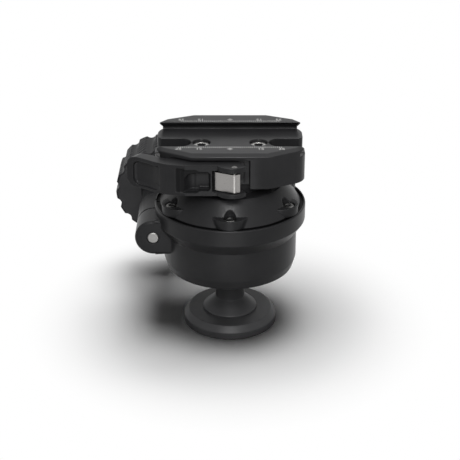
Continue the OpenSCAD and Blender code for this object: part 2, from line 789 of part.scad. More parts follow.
module housing() {
  color(black_alu)
    difference() {
      union() {
        rotate_extrude()
          polygon([
            [0, housing_foot_z], [wall_r - foot_taper_w, housing_foot_z],
            [wall_r, housing_foot_z + foot_taper_h], [wall_r, wall_top_z],
            [flange_r, flange_foot_z], [flange_r, housing_top_z - rim_edge],
            [flange_r - rim_edge, housing_top_z], [0, housing_top_z]
          ]);
        lug();
      }
      translate([0, 0, shoulder_z])
        cylinder(r = housing_bore_r, h = housing_top_z - shoulder_z + e);
      translate([0, 0, housing_foot_z])
        cylinder(r1 = mouth_r, r2 = mouth_shoulder_r, h = shoulder_z - housing_foot_z);
      translate([0, 0, housing_foot_z - e])
        cylinder(r = mouth_r, h = e);
      translate([0, 0, shoulder_z - bear_clear])
        cylinder(r = mouth_shoulder_r, h = e);
      translate([-lock_x - lug_r - e, -slit_w / 2, housing_foot_z - e])
        cube([lock_x + lug_r + e - seat_r / 2, slit_w, housing_h + 2 * e]);
      translate([-lock_x, 0, ball_z]) {
        along_y(lock_r + run_clear, -lug_front - e, 0);
        along_y(lock_r + through_clear, 0, lug_rear + e);
        along_y(max(hub_r, thrust_r) + hub_clear, lug_rear, grip_y);
      }
      translate([0, 0, housing_top_z - rim_groove_depth])
        difference() {
          cylinder(r = groove_out_r, h = rim_groove_depth + e);
          translate([0, 0, -e])
            cylinder(r = groove_out_r - rim_groove_w, h = rim_groove_depth + 3 * e);
        }
      at_cap_screws()
        translate([cap_screw_circle_r, 0, cap_head_z - cap_screw_len - 0.3])
          cylinder(r = cap_screw_r + thread_clear, h = cap_screw_len + 2 * e);
    }
}

// Clamping lug: a round end about the lock screw, filled in towards the wall
module lug() {
  translate([-lock_x, 0, ball_z]) {
    along_y(lug_r, lug_chamfer - lug_front, lug_rear);
    translate([0, -lug_front, 0])
      rotate([-90, 0, 0])
        cylinder(r1 = lug_r - lug_chamfer, r2 = lug_r, h = lug_chamfer);
    translate([0, lug_chamfer - lug_front, -lug_r])
      cube([lock_x - seat_r * 0.9, lug_front + lug_rear - lug_chamfer, 2 * lug_r]);
    translate([0, -lug_front, -lug_r + lug_chamfer])
      cube([lock_x - seat_r * 0.9, lug_chamfer + e, 2 * (lug_r - lug_chamfer)]);
  }
}

module cap() {
  color(black_alu)
    difference() {
      union() {
        rotate_extrude()
          polygon([
            [0, cap_z], [cap_r, cap_z], [cap_shoulder_r, cap_shoulder_z],
            [pad_r, cap_shoulder_z], [pad_r, clamp_z], [0, clamp_z]
          ]);
        intersection() {
          at_cap_screws()
            translate([boss_circle_r, 0, cap_z])
              cylinder(r = boss_r, h = boss_h);
          translate([0, 0, cap_z])
            cylinder(r = flange_r - rim_edge, h = boss_h);
        }
      }
      at_cap_screws()
        translate([cap_screw_circle_r, 0, 0]) {
          translate([0, 0, cap_z - e])
            cylinder(r = cap_screw_r + through_clear, h = boss_h + e);
          translate([0, 0, cap_head_z])
            cylinder(r = cap_pocket_r, h = cap_shoulder_h);
        }
      translate([0, 0, cap_z - e])
        cylinder(r = housing_bore_r, h = seat_stop_z - cap_z + e);
      translate([0, 0, ball_z])
        sphere(r = cap_cavity_r);
      for (side = [-1, 1]) {
        translate([side * clamp_screw_x, 0, clamp_tip_z - 0.3])
          cylinder(r = clamp_screw_r + thread_clear, h = clamp_z - clamp_tip_z + e);
        translate([side * dowel_x, dowel_y, dowel_z - 0.1])
          cylinder(r = dowel_r + thread_clear, h = dowel_len);
      }
    }
}

module cap_screws() {
  color(steel)
    at_cap_screws()
      translate([cap_screw_circle_r, 0, cap_head_z])
        socket_screw(cap_screw_r, cap_screw_len, cap_head_r, cap_head_h);
}

module clamp_base() {
  color(black_alu)
    difference() {
      intersection() {
        clamp_blank();
        translate([-end_x - e, -split_y, clamp_z - e])
          cube([2 * (end_x + e), split_y + side_y + e, clamp_h + 2 * e]);
      }
      for (side = [-1, 1]) {
        translate([side * (notch_x + notch_r), 0, floor_z - notch_depth])
          cylinder(r = notch_r, h = notch_depth + e);
        translate([side * (notch_x + notch_r + notch_run / 2), 0, floor_z - notch_depth / 2 + e / 2])
          cube([notch_run, notch_w, notch_depth + e], center = true);
        translate([0, 0, floor_z - notch_depth])
          linear_extrude(notch_depth + 2 * e)
            polygon([for (p = notch_mouth) [side * p.x, p.y]]);
        translate([side * clamp_screw_x, 0, clamp_z - e])
          cylinder(r = clamp_screw_r + through_clear, h = clamp_h);
        translate([side * clamp_screw_x, 0, clamp_head_z])
          cylinder(r = clamp_head_r + 0.3, h = clamp_h);
        translate([side * dowel_x, dowel_y, clamp_z - e])
          cylinder(r = dowel_r + thread_clear, h = dowel_len / 2 + e + 0.1);
      }
      translate([pivot.x, 0, bolt_z])
        along_y(shank_r + through_clear, -split_y - e, 0);
      translate([pivot.x - nut_flats / 2 - bear_clear, -nut_y - nut_t - bear_clear, clamp_z - e])
        cube([nut_flats + 2 * bear_clear, nut_t + 2 * bear_clear, bolt_z - clamp_z + e + nut_r + bear_clear]);
      at_guides() {
        along_y(guide_r + run_clear, -split_y - e, guide_y + guide_len + 1);
        along_y(spring_pocket_r, -split_y - e, spring_end_y);
      }
    }
}

module clamp_screws() {
  color(steel)
    for (side = [-1, 1])
      translate([side * clamp_screw_x, 0, clamp_head_z])
        socket_screw(clamp_screw_r, clamp_screw_len, clamp_head_r, clamp_head_h);
}

module clamp_dowels() {
  color(steel)
    for (side = [-1, 1])
      translate([side * dowel_x, dowel_y, dowel_z])
        cylinder(r = dowel_r, h = dowel_len);
}

module draw_bolt() {
  color(steel)
    difference() {
      union() {
        lever_post([0, 0], eye_r, bolt_z - eye_h / 2, bolt_z + eye_h / 2);
        translate([pivot.x, 0, bolt_z])
          along_y(shank_r, pivot.y, -shank_end_y);
      }
      lever_post([0, 0], lever_pin_r + run_clear, bolt_z - eye_h / 2 - e, bolt_z + eye_h / 2 + e);
    }
}

module draw_nut() {
  color(steel)
    difference() {
      translate([pivot.x, -nut_y - nut_t, bolt_z])
        rotate([-90, 0, 0])
          rotate([0, 0, 90])
            cylinder(r = nut_r, h = nut_t, $fn = 6);
      translate([pivot.x, 0, bolt_z])
        along_y(shank_r + thread_clear, -nut_y - nut_t - e, -nut_y + e);
    }
}

module front_jaw() {
  color(black_alu)
    difference() {
      intersection() {
        clamp_blank();
        translate([-end_x - e, -side_y - e, jaw_z])
          cube([2 * (end_x + e), side_y + e + jaw_back_y, clamp_h]);
      }
      translate([-end_x - e, -side_y - e, clamp_z - e])
        cube([end_x + e + block_x, side_y + e - recess_y, recess_top_z - clamp_z + e]);
      translate([wear_x - wear_plate_len / 2 - bear_clear, -recess_y - e,
        wear_z - wear_plate_h / 2 - bear_clear])
        cube([wear_plate_len + 2 * bear_clear, e + wear_plate_t + bear_clear, wear_plate_h + 2 * bear_clear]);
      translate([pivot.x, 0, bolt_z])
        along_y(shank_r + through_clear, -recess_y - e, jaw_back_y + e);
      at_guides()
        along_y(guide_r + thread_clear, guide_y - 0.1, jaw_back_y + e);
    }
}

module wear_plate() {
  color(steel)
    difference() {
      translate([wear_x - wear_plate_len / 2, -recess_y, wear_z - wear_plate_h / 2])
        cube([wear_plate_len, wear_plate_t, wear_plate_h]);
      translate([pivot.x, 0, bolt_z])
        along_y(shank_r + through_clear, -recess_y - e, -recess_y + wear_plate_t + e);
    }
}

module jaw_guide_pins() {
  color(steel)
    at_guides()
      along_y(guide_r, guide_y, guide_y + guide_len);
}

module jaw_springs() {
  color(steel)
    at_guides()
      translate([0, spring_y + bear_clear, 0])
        rotate([-90, 0, 0])
          coil(jaw_spring_r, jaw_spring_wire_r, spring_len, jaw_spring_turns);
}

module lever() {
  color(black_alu)
    difference() {
      union() {
        difference() {
          lever_prism(concat(
            [[0, arm_front], [0, arm_back], [tail_knee.x, arm_back]],
            [tail_run_end + tail_t * tail_in, tail_tip + tail_t * tail_in],
            [tail_tip, tail_run_end, tail_bend_end, tail_knee, [tail_knee.x + knee_run, arm_front]]
          ), lever_z, lever_top_z);
          tail_corner_cuts(tail_tip, lever_z + lever_h / 2, lever_h / 2, tail_corner_r);
        }
        intersection() {
          lever_post([0, 0], lever_boss_r, lever_z, lever_top_z);
          lever_prism([
            [0, arm_back], [-lever_boss_r - e, arm_back], [-lever_boss_r - e, -lever_boss_r - e],
            [lever_boss_r + e, -lever_boss_r - e], [lever_boss_r + e, boss_cut_y], [boss_cut_x, 0]
          ], lever_z, lever_top_z);
        }
        lever_post(cam_centre, cam_r, lever_z, lever_top_z);
      }
      lever_slot();
      lever_scoop();
      lever_dish();
      lever_post([0, 0], lever_pin_r + thread_clear, lever_z - e, lever_top_z - 1.2);
      lever_post(latch_pin_at, latch_pin_r + thread_clear, lever_z + 0.6, lever_top_z + e);
      lever_post(latch_pin_at, latch_pin_head_r + thread_clear, latch_head_z - thread_clear, lever_top_z + e);
    }
}

// Slot between the cheeks, which leaves a web behind the latch spring
module lever_slot() {
  difference() {
    lever_prism([
      [-lever_slot_len, -2 * lever_boss_r], [2 * lever_boss_r, -2 * lever_boss_r],
      [2 * lever_boss_r, 2 * lever_boss_r], [web_right, 2 * lever_boss_r],
      [web_right, web_front], [-lever_slot_len, web_front]
    ], slot_z, slot_top_z);
  }
}

// Corners taken off an end of the tail, above and below
module tail_corner_cuts(at, mid_z, half, r) {
  translate([pivot.x + at.x, pivot.y + at.y, mid_z])
    rotate([0, 0, atan2(tail_dir.y, tail_dir.x)])
      for (side = [-1, 1])
        mirror([0, 0, side > 0 ? 0 : 1])
          translate([-r, 0, half - r])
            difference() {
              translate([0, -2 * tail_t, 0])
                cube([r + 2 * tail_t, 4 * tail_t, r + e]);
              along_y(r, -2 * tail_t - e, 2 * tail_t + e);
            }
}

// Hollow for the thumb in the outer face of the tail
module lever_dish() {
  mid = (tail_bend_end + tail_run_end) / 2;
  centre = mid - (dish_r - dish_depth) * tail_in;
  end = mid + dish_end * tail_dir;
  low = lever_z + dish_rim_low;
  high = lever_top_z - dish_rim;
  difference() {
    intersection() {
      lever_post(centre, dish_r, low, high);
      lever_prism([
        end - 2 * tail_t * tail_in, end + 2 * tail_t * tail_in,
        end + 2 * tail_t * tail_in - 4 * dish_end * tail_dir, end - 2 * tail_t * tail_in - 4 * dish_end * tail_dir
      ], low - e, high + e);
    }
    tail_corner_cuts(end, (low + high) / 2, (high - low) / 2, dish_corner_r);
  }
}

// Prism cut into the front face of the lever, points in x from the pivot and z
module front_pocket(points, depth) {
  translate([pivot.x, pivot.y + arm_front + depth, 0])
    rotate([90, 0, 0])
      linear_extrude(depth + e)
        polygon(points);
}

// Finger scoop in the front face: a ramp to a crest, a ledge, and a hollow within the ledge
module lever_scoop() {
  mid_z = (slot_z + slot_top_z) / 2;
  low = mid_z - scoop_h / 2;
  high = mid_z + scoop_h / 2;
  narrow_low = mid_z - scoop_narrow_h / 2;
  narrow_high = mid_z + scoop_narrow_h / 2;
  end = -lever_slot_len - scoop_rib;
  lever_prism([
    [-scoop_left, arm_front - e], [-scoop_left, arm_front], [-scoop_crest, arm_front + scoop_ledge],
    [-scoop_crest + 0.01, arm_front + scoop_ledge], [-scoop_crest + 0.01, arm_front - e]
  ], low, high);
  front_pocket([
    [-scoop_crest, low], [-scoop_step - 0.8, low], [-scoop_step + 0.6, narrow_low], [end - 1.2, narrow_low],
    [end, narrow_low + 1.2], [end, narrow_high - 1.2], [end - 1.2, narrow_high],
    [-scoop_step + 0.6, narrow_high], [-scoop_step - 0.8, high], [-scoop_crest, high]
  ], scoop_ledge);
  lever_hollow(low + 0.4, narrow_low + 0.4, high - scoop_ledge_h, end - 0.5);
}

// Hollow of the finger scoop, which curves in from the crest and has one round corner
module lever_hollow(low, narrow_low, high, end) {
  drop = scoop_depth - scoop_ledge + 0.15;
  curve_r = (scoop_curve * scoop_curve + drop * drop) / (2 * drop);
  curve_x = -scoop_crest + scoop_curve;
  intersection() {
    union() {
      lever_post([curve_x, arm_front + scoop_depth + 0.15 - curve_r], curve_r, low - e, high + e);
      lever_prism([
        [curve_x, arm_front - 2 * e], [curve_x, arm_front + scoop_depth],
        [end, arm_front + scoop_depth], [end, arm_front - 2 * e]
      ], low - e, high + e);
    }
    union() {
      front_pocket([
        [-scoop_crest, low], [-scoop_step, low], [-scoop_step + 0.8, narrow_low], [end + e, narrow_low],
        [end + e, high], [-scoop_crest + scoop_corner_r, high],
        [-scoop_crest + scoop_corner_r, high - scoop_corner_r], [-scoop_crest, high - scoop_corner_r]
      ], scoop_depth + 1);
      translate([pivot.x - scoop_crest + scoop_corner_r, pivot.y, high - scoop_corner_r])
        along_y(scoop_corner_r, arm_front - e, arm_front + scoop_depth + 1);
    }
  }
}

module lever_pin() {
  color(steel)
    lever_post([0, 0], lever_pin_r, lever_z + 0.4, lever_top_z - 1.3);
}

module latch() {
  bend = -0.46 * latch_pin_r;
  tip = latch_pin_at + [bend, -latch_front];
  left = latch_pin_at + [-latch_wing, latch_setback];
  right = latch_pin_at + latch_nose * [1, -0.1];
  color(bright_alu)
    difference() {
      union() {
        lever_prism([
          left, tip, right, latch_pin_at + latch_nose * [0.9, 0.78],
          latch_pin_at + latch_nose * [0.6, 1.02], latch_pin_at + latch_nose * [0.25, 0.64],
          latch_pin_at + [bend, latch_t - latch_front], left + latch_t * [0.45, 0.8],
          left + latch_t * [0.05, 0.6]
        ], latch_z, latch_z + latch_h);
        lever_post(latch_pin_at, latch_pin_r + latch_wall, latch_z, latch_z + latch_h);
      }
      lever_post(latch_pin_at, latch_pin_r + run_clear, latch_z - e, latch_z + latch_h + e);
    }
}

module latch_pin() {
  color(steel)
    difference() {
      union() {
        lever_post(latch_pin_at, latch_pin_r, lever_z + 0.7, lever_top_z - 0.2);
        lever_post(latch_pin_at, latch_pin_head_r, latch_head_z, lever_top_z - 0.2);
      }
      lever_post(latch_pin_at, latch_pin_bore_r, lever_z - e, lever_top_z + e);
    }
}

module latch_spring() {
  color(steel)
    translate([pivot.x + latch_spring_x, pivot.y + latch_spring_front, latch_z + latch_h / 2])
      rotate([-90, 0, 0])
        coil(latch_spring_r, latch_spring_wire_r, web_front - latch_spring_front - bear_clear,
          latch_spring_turns);
}

module thrust_washer() {
  color(steel)
    translate([-lock_x, 0, ball_z])
      difference() {
        along_y(thrust_r, thrust_y, thrust_y + thrust_t);
        along_y(lock_r + through_clear, thrust_y - e, thrust_y + thrust_t + e);
      }
}

module lock_screw() {
  color(steel)
    translate([-lock_x, -lug_front, ball_z])
      rotate([-90, 0, 0]) {
        cylinder(r1 = lock_r - 0.5, r2 = lock_r, h = 0.5);
        translate([0, 0, 0.5])
          cylinder(r = lock_r, h = lock_end_y + lug_front - 0.5);
      }
}

module knob() {
  color(black_alu)
    translate([-lock_x, 0, ball_z])
      difference() {
        rotate([-90, 0, 0])
          rotate_extrude()
            polygon([
              [0, hub_y], [hub_r, hub_y], [hub_r, grip_y], [knob_r - knob_chamfer, grip_y],
              [knob_r, grip_y + knob_chamfer], [knob_r, knob_end_y - knob_chamfer],
              [knob_r - knob_chamfer, knob_end_y], [0, knob_end_y]
            ]);
        for (i = [0:knob_pads - 1])
          rotate([0, 90 + (i + 0.5) * 360 / knob_pads, 0])
            translate([knob_r - valley_depth + valley_r, 0, 0])
              along_y(valley_r, grip_y - e, knob_end_y + e);
        along_y(lock_r + thread_clear, hub_y - e, lock_end_y + 0.2);
        along_y(end_cap_r + thread_clear, end_cap_y, knob_end_y + e);
      }
}

module knob_end_cap() {
  color(dark_alu)
    translate([-lock_x, end_cap_y, ball_z])
      rotate([-90, 0, 0]) {
        cylinder(r = end_cap_r, h = end_cap_t - 0.4);
        translate([0, 0, end_cap_t - 0.4])
          cylinder(r1 = end_cap_r, r2 = end_cap_r - 0.8, h = 0.8);
      }
}

base_disc();
stem();
base_screws();
ball();
ball_washer();
ball_screw();
lower_ball_seat();
upper_ball_seat();
housing();
cap();
cap_screws();
clamp_base();
clamp_screws();
clamp_dowels();
draw_bolt();
draw_nut();
front_jaw();
wear_plate();
jaw_guide_pins();
jaw_springs();
lever();
lever_pin();
latch();
latch_pin();
latch_spring();
thrust_washer();
lock_screw();
knob();
knob_end_cap();
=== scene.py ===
"""Inverted ball head with a lever-release dovetail clamp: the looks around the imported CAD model."""
import math

import bmesh
import bpy
from bpy.props import FloatProperty, FloatVectorProperty, IntProperty, PointerProperty
from mathutils import Matrix, Vector


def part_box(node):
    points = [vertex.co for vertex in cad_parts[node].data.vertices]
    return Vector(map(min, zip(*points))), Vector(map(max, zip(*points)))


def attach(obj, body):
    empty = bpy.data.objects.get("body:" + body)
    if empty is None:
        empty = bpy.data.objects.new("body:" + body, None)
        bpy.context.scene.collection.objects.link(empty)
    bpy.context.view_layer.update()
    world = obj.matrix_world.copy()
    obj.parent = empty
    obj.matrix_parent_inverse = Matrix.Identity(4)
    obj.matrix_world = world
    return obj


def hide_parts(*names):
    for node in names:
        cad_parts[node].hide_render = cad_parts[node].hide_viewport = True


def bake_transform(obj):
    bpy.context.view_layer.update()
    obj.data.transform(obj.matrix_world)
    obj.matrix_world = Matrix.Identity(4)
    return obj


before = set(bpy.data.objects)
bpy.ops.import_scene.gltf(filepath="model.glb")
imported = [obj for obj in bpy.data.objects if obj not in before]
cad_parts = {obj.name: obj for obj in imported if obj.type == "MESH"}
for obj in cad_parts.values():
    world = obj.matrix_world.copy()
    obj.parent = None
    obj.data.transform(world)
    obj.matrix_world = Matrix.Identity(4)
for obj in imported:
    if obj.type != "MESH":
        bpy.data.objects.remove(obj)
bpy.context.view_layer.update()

bl_info = {
    "name": "Inverted ball head",
    "version": (1, 0, 0),
    "blender": (4, 5, 0),
    "location": "3D View > Sidebar > Ball head",
    "description": "Machined, anodised looks for an inverted ball head",
    "category": "Object",
}

MM = 0.001
# Corners closer than this are one corner
MERGE = 0.002 * MM
# Distance between the corners of the even meshes of the lever and the latch
LEVER_VOXEL = 0.2 * MM
LATCH_VOXEL = 0.12 * MM
# Place that the square soft boxes face
HEAD_MIDDLE = (0, 0, 0.05)

# Places that the CAD source gives, in millimetres
LOCK_AXIS = (-38.8, 55.0)
HUB_Y = 21.55
HUB_RADIUS = 8.8
GRIP_Y = 42.05
GRIP_END_Y = 68.05
GRIP_RADIUS = 23.7
VALLEY_RADIUS = 2.95
VALLEY_DEPTH = 1.5
PLUG_RADIUS = 13.0
PLUG_Y = 65.75
LOCK_BORE = (3.05, 61.95)
TAIL_MID = (-40.5, -24.45)
TAIL_DIRECTION = (-0.8144, 0.5803)
# Box round the finger scoop, from the front face of the lever, and the depth of its ledge
SCOOP_X = (-26.0, -9.3)
SCOOP_Y = (-32.2, -29.2)
SCOOP_HALF_HEIGHT = 6.2
SCOOP_LEDGE = 0.9
LEVER_MID_Z = (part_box("lever")[0].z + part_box("lever")[1].z) / 2 / MM
JAW_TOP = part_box("clamp_base")[1].z / MM
CLAMP_CORNERS = (
    (18.4, -27.9), (33.2, -20.3), (36.8, -16.6), (36.8, 16.6), (32.6, 21.8), (18.9, 27.9))
# Radii and heights between which the groove in the rim of the housing lies, whose faces get painted
# shade
RIM_GROOVE = (35.4, 37.75, 67.0, 68.97)
# Places of the screws, radius and depth of their sockets, inside which shade is painted
SOCKETS = {
    "clamp_screws": ([(-14.3, 0), (14.3, 0)], 2.45, 3.0),
    "cap_screws": ([(33.5 * math.cos(math.radians(a)), 33.5 * math.sin(math.radians(a)))
                    for a in range(30, 390, 60)], 1.48, 1.4),
}
# Mean radius, wire radius and turns
JAW_SPRING = (2.55, 0.35, 4)
LATCH_SPRING = (1.2, 0.2, 4)
THREAD_RADIUS = 4.7625
THREAD_DEPTH = 12.0

# Details that the looks add, in millimetres
# Within this radius the ends of the knob's grip stay plain and flat
FACE_RADIUS = 20.5
# Jaw scales: where they end, their figures, inner end of the ticks and middle of the figures
SCALE_END = 25
FIGURES = (-25, -15, 15, 25)
TICK_Y = -17.35
FIGURE_Y = -20.3
# Lengths of the ticks, and thickness of all marks
SHORT_TICK = 1.4
LONG_TICK = 1.7
MARK_HEIGHT = 0.06


def linear(code):
    """An sRGB hex colour as linear red, green and blue."""
    channels = [int(code[i:i + 2], 16) / 255 for i in (0, 2, 4)]
    return [c / 12.92 if c <= 0.04045 else ((c + 0.055) / 1.055) ** 2.4 for c in channels]


class BallHeadSizes(bpy.types.PropertyGroup):
    """Sizes of the details that the looks add."""

    machined_edge: FloatProperty(
        name="Machined edge", description="Rounding of the edges of the milled and turned pieces",
        default=0.35 * MM, min=0.05 * MM, max=0.6 * MM, unit="LENGTH", precision=5)
    fastener_edge: FloatProperty(
        name="Fastener edge", description="Rounding of the edges of screws, pins and washers",
        default=0.12 * MM, min=0.02 * MM, max=0.2 * MM, unit="LENGTH", precision=5)
    end_corner: FloatProperty(
        name="Clamp end corner",
        description="How far the rounding of the end corners of the clamp reaches",
        default=3.2 * MM, min=0.5 * MM, max=3.5 * MM, unit="LENGTH", precision=5)
    slant_corner: FloatProperty(
        name="Clamp slant corner",
        description="How far the rounding at the feet of the slants reaches",
        default=1.6 * MM, min=0.3 * MM, max=1.7 * MM, unit="LENGTH", precision=5)
    thread_pitch: FloatProperty(
        name="Thread pitch", description="Pitch of the tripod thread, 16 turns to the inch",
        default=1.5875 * MM, min=1 * MM, max=2 * MM, unit="LENGTH", precision=5)
    softened_edge: IntProperty(
        name="Softened edge",
        description="Smoothing passes that round the edges of the lever, doubled for the latch",
        default=3, min=2, max=30)
    dish: FloatProperty(
        name="Thumb dish",
        description="Extra depth of the hollow for the thumb in the tail of the lever",
        default=0.8 * MM, min=0, max=1.5 * MM, unit="LENGTH", precision=5)
    scoop: FloatProperty(
        name="Finger scoop", description="Share by which the finger scoop of the lever is deepened",
        default=0.6, min=0, max=0.8, subtype="FACTOR")
    pads: IntProperty(
        name="Knob pads", description="Number of pads round the knob grip",
        default=15, min=9, max=21)
    groove_pitch: FloatProperty(
        name="Groove pitch", description="Distance between the slanting grooves across each pad",
        default=3.9 * MM, min=2 * MM, max=8 * MM, unit="LENGTH", precision=5)
    groove_width: FloatProperty(
        name="Groove width", description="Width of the slanting grooves in the pads",
        default=1.5 * MM, min=0.8 * MM, max=2.5 * MM, unit="LENGTH", precision=5)
    groove_depth: FloatProperty(
        name="Groove depth", description="Depth of the slanting grooves in the pads",
        default=0.6 * MM, min=0.1 * MM, max=0.8 * MM, unit="LENGTH", precision=5)
    tick: FloatProperty(
        name="Tick width", description="Width of a line of the jaw scales",
        default=0.27 * MM, min=0.1 * MM, max=0.5 * MM, unit="LENGTH", precision=5)
    figure: FloatProperty(
        name="Figure height", description="Height of the figures of the jaw scales",
        default=2.3 * MM, min=1 * MM, max=3 * MM, unit="LENGTH", precision=5)


class BallHeadColours(bpy.types.PropertyGroup):
    """Colours of the finishes."""

    black: FloatVectorProperty(
        name="Black anodising", description="Dyed oxide of the milled and turned pieces",
        subtype="COLOR", size=3, min=0, max=1, default=linear("212122"))
    foot: FloatVectorProperty(
        name="Foot anodising", description="Paler dyed oxide of the foot and the knob's faces",
        subtype="COLOR", size=3, min=0, max=1, default=linear("343435"))
    silver: FloatVectorProperty(
        name="Silver anodising", description="Clear oxide of the latch",
        subtype="COLOR", size=3, min=0, max=1, default=linear("8f8d8b"))
    steel: FloatVectorProperty(
        name="Stainless steel", description="Screws, pins, washers and springs",
        subtype="COLOR", size=3, min=0, max=1, default=linear("b2b1af"))
    acetal: FloatVectorProperty(
        name="Acetal", description="Ball seats", subtype="COLOR", size=3, min=0, max=1,
        default=linear("e2dfd6"))
    marking: FloatVectorProperty(
        name="Scale marking", description="Laser-marked lines and figures",
        subtype="COLOR", size=3, min=0, max=1, default=linear("c6c6c4"))


# Materials


def add_node(tree, kind, inputs=None, **settings):
    """Adds one shader node, with its settings, socket values and links."""
    node = tree.nodes.new(kind)
    for name, value in settings.items():
        setattr(node, name, value)
    for name, value in (inputs or {}).items():
        if isinstance(value, bpy.types.NodeSocket):
            tree.links.new(value, node.inputs[name])
        else:
            node.inputs[name].default_value = value
    return node


def new_material(name):
    """A material, its empty tree and its output node, or None for both if the material exists."""
    found = bpy.data.materials.get(name)
    if found:
        return found, None, None
    material = bpy.data.materials.new(name)
    material.use_nodes = True
    material.node_tree.nodes.clear()
    return material, material.node_tree, material.node_tree.nodes.new("ShaderNodeOutputMaterial")


def black_anodised(name, colour, sheen, turned=""):
    """Bead-blasted aluminium under a dyed oxide: near black, satin, with a fine even grain.

    A turned piece also keeps faint rings of its feed marks about the axis named.
    """
    material, tree, output = new_material(name)
    if tree is None:
        return material
    where = add_node(tree, "ShaderNodeTexCoord").outputs["Object"]
    # Blasting leaves pits of about 0.1 mm; they are drawn at 0.3 mm so that they show
    grain = add_node(tree, "ShaderNodeTexNoise", {
        "Vector": where, "Scale": 1 / (0.3 * MM), "Detail": 2.0, "Roughness": 0.6}).outputs["Fac"]
    # The dye bath leaves patches of about 12 mm that differ slightly in tone
    patch = add_node(tree, "ShaderNodeTexNoise", {
        "Vector": where, "Scale": 1 / (12 * MM), "Detail": 3.0}).outputs["Fac"]
    tone = add_node(tree, "ShaderNodeMapRange", {
        "Value": patch, "From Min": 0.3, "From Max": 0.7,
        "To Min": 0.86, "To Max": 1.12}).outputs["Result"]
    shade = add_node(tree, "ShaderNodeVectorMath", {0: colour, 3: tone}, operation="SCALE")
    height = grain
    if turned:
        # Feed marks of 0.1 mm, drawn at 0.45 mm so that they show
        axis = {"Z": (1, 1, 0), "Y": (1, 0, 1)}[turned]
        centre = {"Z": (0, 0, 0), "Y": (LOCK_AXIS[0] * MM, 0, LOCK_AXIS[1] * MM)}[turned]
        off = add_node(tree, "ShaderNodeVectorMath", {
            0: where, 1: centre}, operation="SUBTRACT").outputs[0]
        flat = add_node(tree, "ShaderNodeVectorMath", {
            0: off, 1: axis}, operation="MULTIPLY").outputs[0]
        radius = add_node(tree, "ShaderNodeVectorMath", {
            0: flat}, operation="LENGTH").outputs["Value"]
        rings = add_node(tree, "ShaderNodeTexNoise", {
            "W": radius, "Scale": 1 / (0.45 * MM), "Detail": 1.0},
            noise_dimensions="1D").outputs["Fac"]
        height = add_node(tree, "ShaderNodeMath", {0: grain, 1: rings}, operation="ADD").outputs[0]
    rough = add_node(tree, "ShaderNodeMapRange", {
        "Value": height, "From Min": 0.3, "From Max": 0.9,
        "To Min": 0.28, "To Max": 0.4}).outputs["Result"]
    bump = add_node(tree, "ShaderNodeBump", {
        "Height": height, "Strength": 0.25, "Distance": 0.03 * MM}).outputs["Normal"]
    shader = add_node(tree, "ShaderNodeBsdfPrincipled", {
        "Base Color": shade.outputs[0], "Roughness": rough, "Normal": bump,
        "Metallic": 0.0, "IOR": 1.5, "Specular IOR Level": sheen})
    tree.links.new(shader.outputs[0], output.inputs[0])
    return material


def blasted_black(colours):
    """Blasted pieces: satin black."""
    return black_anodised("black_anodised_aluminium_blasted", colours.black, 0.11)


def milled_black(colours):
    """Milled clamp: the same black with more sheen on its flats."""
    return black_anodised("black_anodised_aluminium_milled", colours.black, 0.14)


def pocket_black(colours):
    """Ledge and ramp of the finger scoop: painted shade, a darker copy of the black, and more matt
    than the face round them.
    """
    return black_anodised(
        "black_anodised_aluminium_scoop_painted_shade", [c * 0.62 for c in colours.black], 0.05)


def turned_knob(colours):
    """Turned faces of the knob: paler than its grip, with rings round the lock screw."""
    return black_anodised("black_anodised_aluminium_turned_knob", colours.foot, 0.12, "Y")


def knurled_black(colours):
    """Knob grip: a more matt black, which keeps its grooves from glaring."""
    return black_anodised(
        "black_anodised_aluminium_knurled", [c * 1.15 for c in colours.black], 0.04)


def turned_foot(colours):
    """Turned foot: a little paler than the blasted pieces, with rings round its axis."""
    return black_anodised("black_anodised_aluminium_turned_foot", colours.foot, 0.12, "Z")


def turned_ball(colours):
    """Turned and lapped ball: black with a smoother sheen."""
    return black_anodised("black_anodised_aluminium_turned_ball", colours.black, 0.3, "Z")


def turned_plug(colours):
    """Turned plug of the knob: black with rings round the axis of the lock screw."""
    return black_anodised("black_anodised_aluminium_turned_plug", colours.black, 0.2, "Y")


def metal(name, colour, roughness, grain_mm, along=""):
    """Bare or clear-coated metal: bright, with a fine grain, drawn out along a named axis."""
    material, tree, output = new_material(name)
    if tree is None:
        return material
    where = add_node(tree, "ShaderNodeTexCoord").outputs["Object"]
    # The lines of the grain are 20 times as long as they are wide
    stretch = [1 / (grain_mm * MM) / (20 if a == along else 1) for a in "XYZ"]
    lines = add_node(tree, "ShaderNodeMapping", {"Vector": where, "Scale": stretch}).outputs[0]
    grain = add_node(tree, "ShaderNodeTexNoise", {
        "Vector": lines, "Scale": 1.0, "Detail": 3.0}).outputs["Fac"]
    rough = add_node(tree, "ShaderNodeMapRange", {
        "Value": grain, "From Min": 0.3, "From Max": 0.7,
        "To Min": roughness - 0.06, "To Max": roughness + 0.06}).outputs["Result"]
    bump = add_node(tree, "ShaderNodeBump", {
        "Height": grain, "Strength": 0.04, "Distance": 0.02 * MM}).outputs["Normal"]
    shader = add_node(tree, "ShaderNodeBsdfPrincipled", {
        "Base Color": (*colour, 1.0), "Metallic": 1.0, "Roughness": rough, "Normal": bump})
    tree.links.new(shader.outputs[0], output.inputs[0])
    return material


def silver_anodised(colours):
    """Brushed aluminium under a clear oxide: pale grey with a soft sheen along its brush lines."""
    return metal("silver_anodised_aluminium_brushed", colours.silver, 0.32, 0.25, "X")


def stainless(colours):
    """Tumbled stainless steel: pale and bright, with an even fine grain."""
    return metal("stainless_steel_tumbled", colours.steel, 0.24, 0.2)


def ground_steel(colours):
    """Ground end of the lock screw and the latch pin: greyer and duller than the screw heads."""
    return metal("stainless_steel_ground", [c * 0.5 for c in colours.steel], 0.42, 0.25, "X")


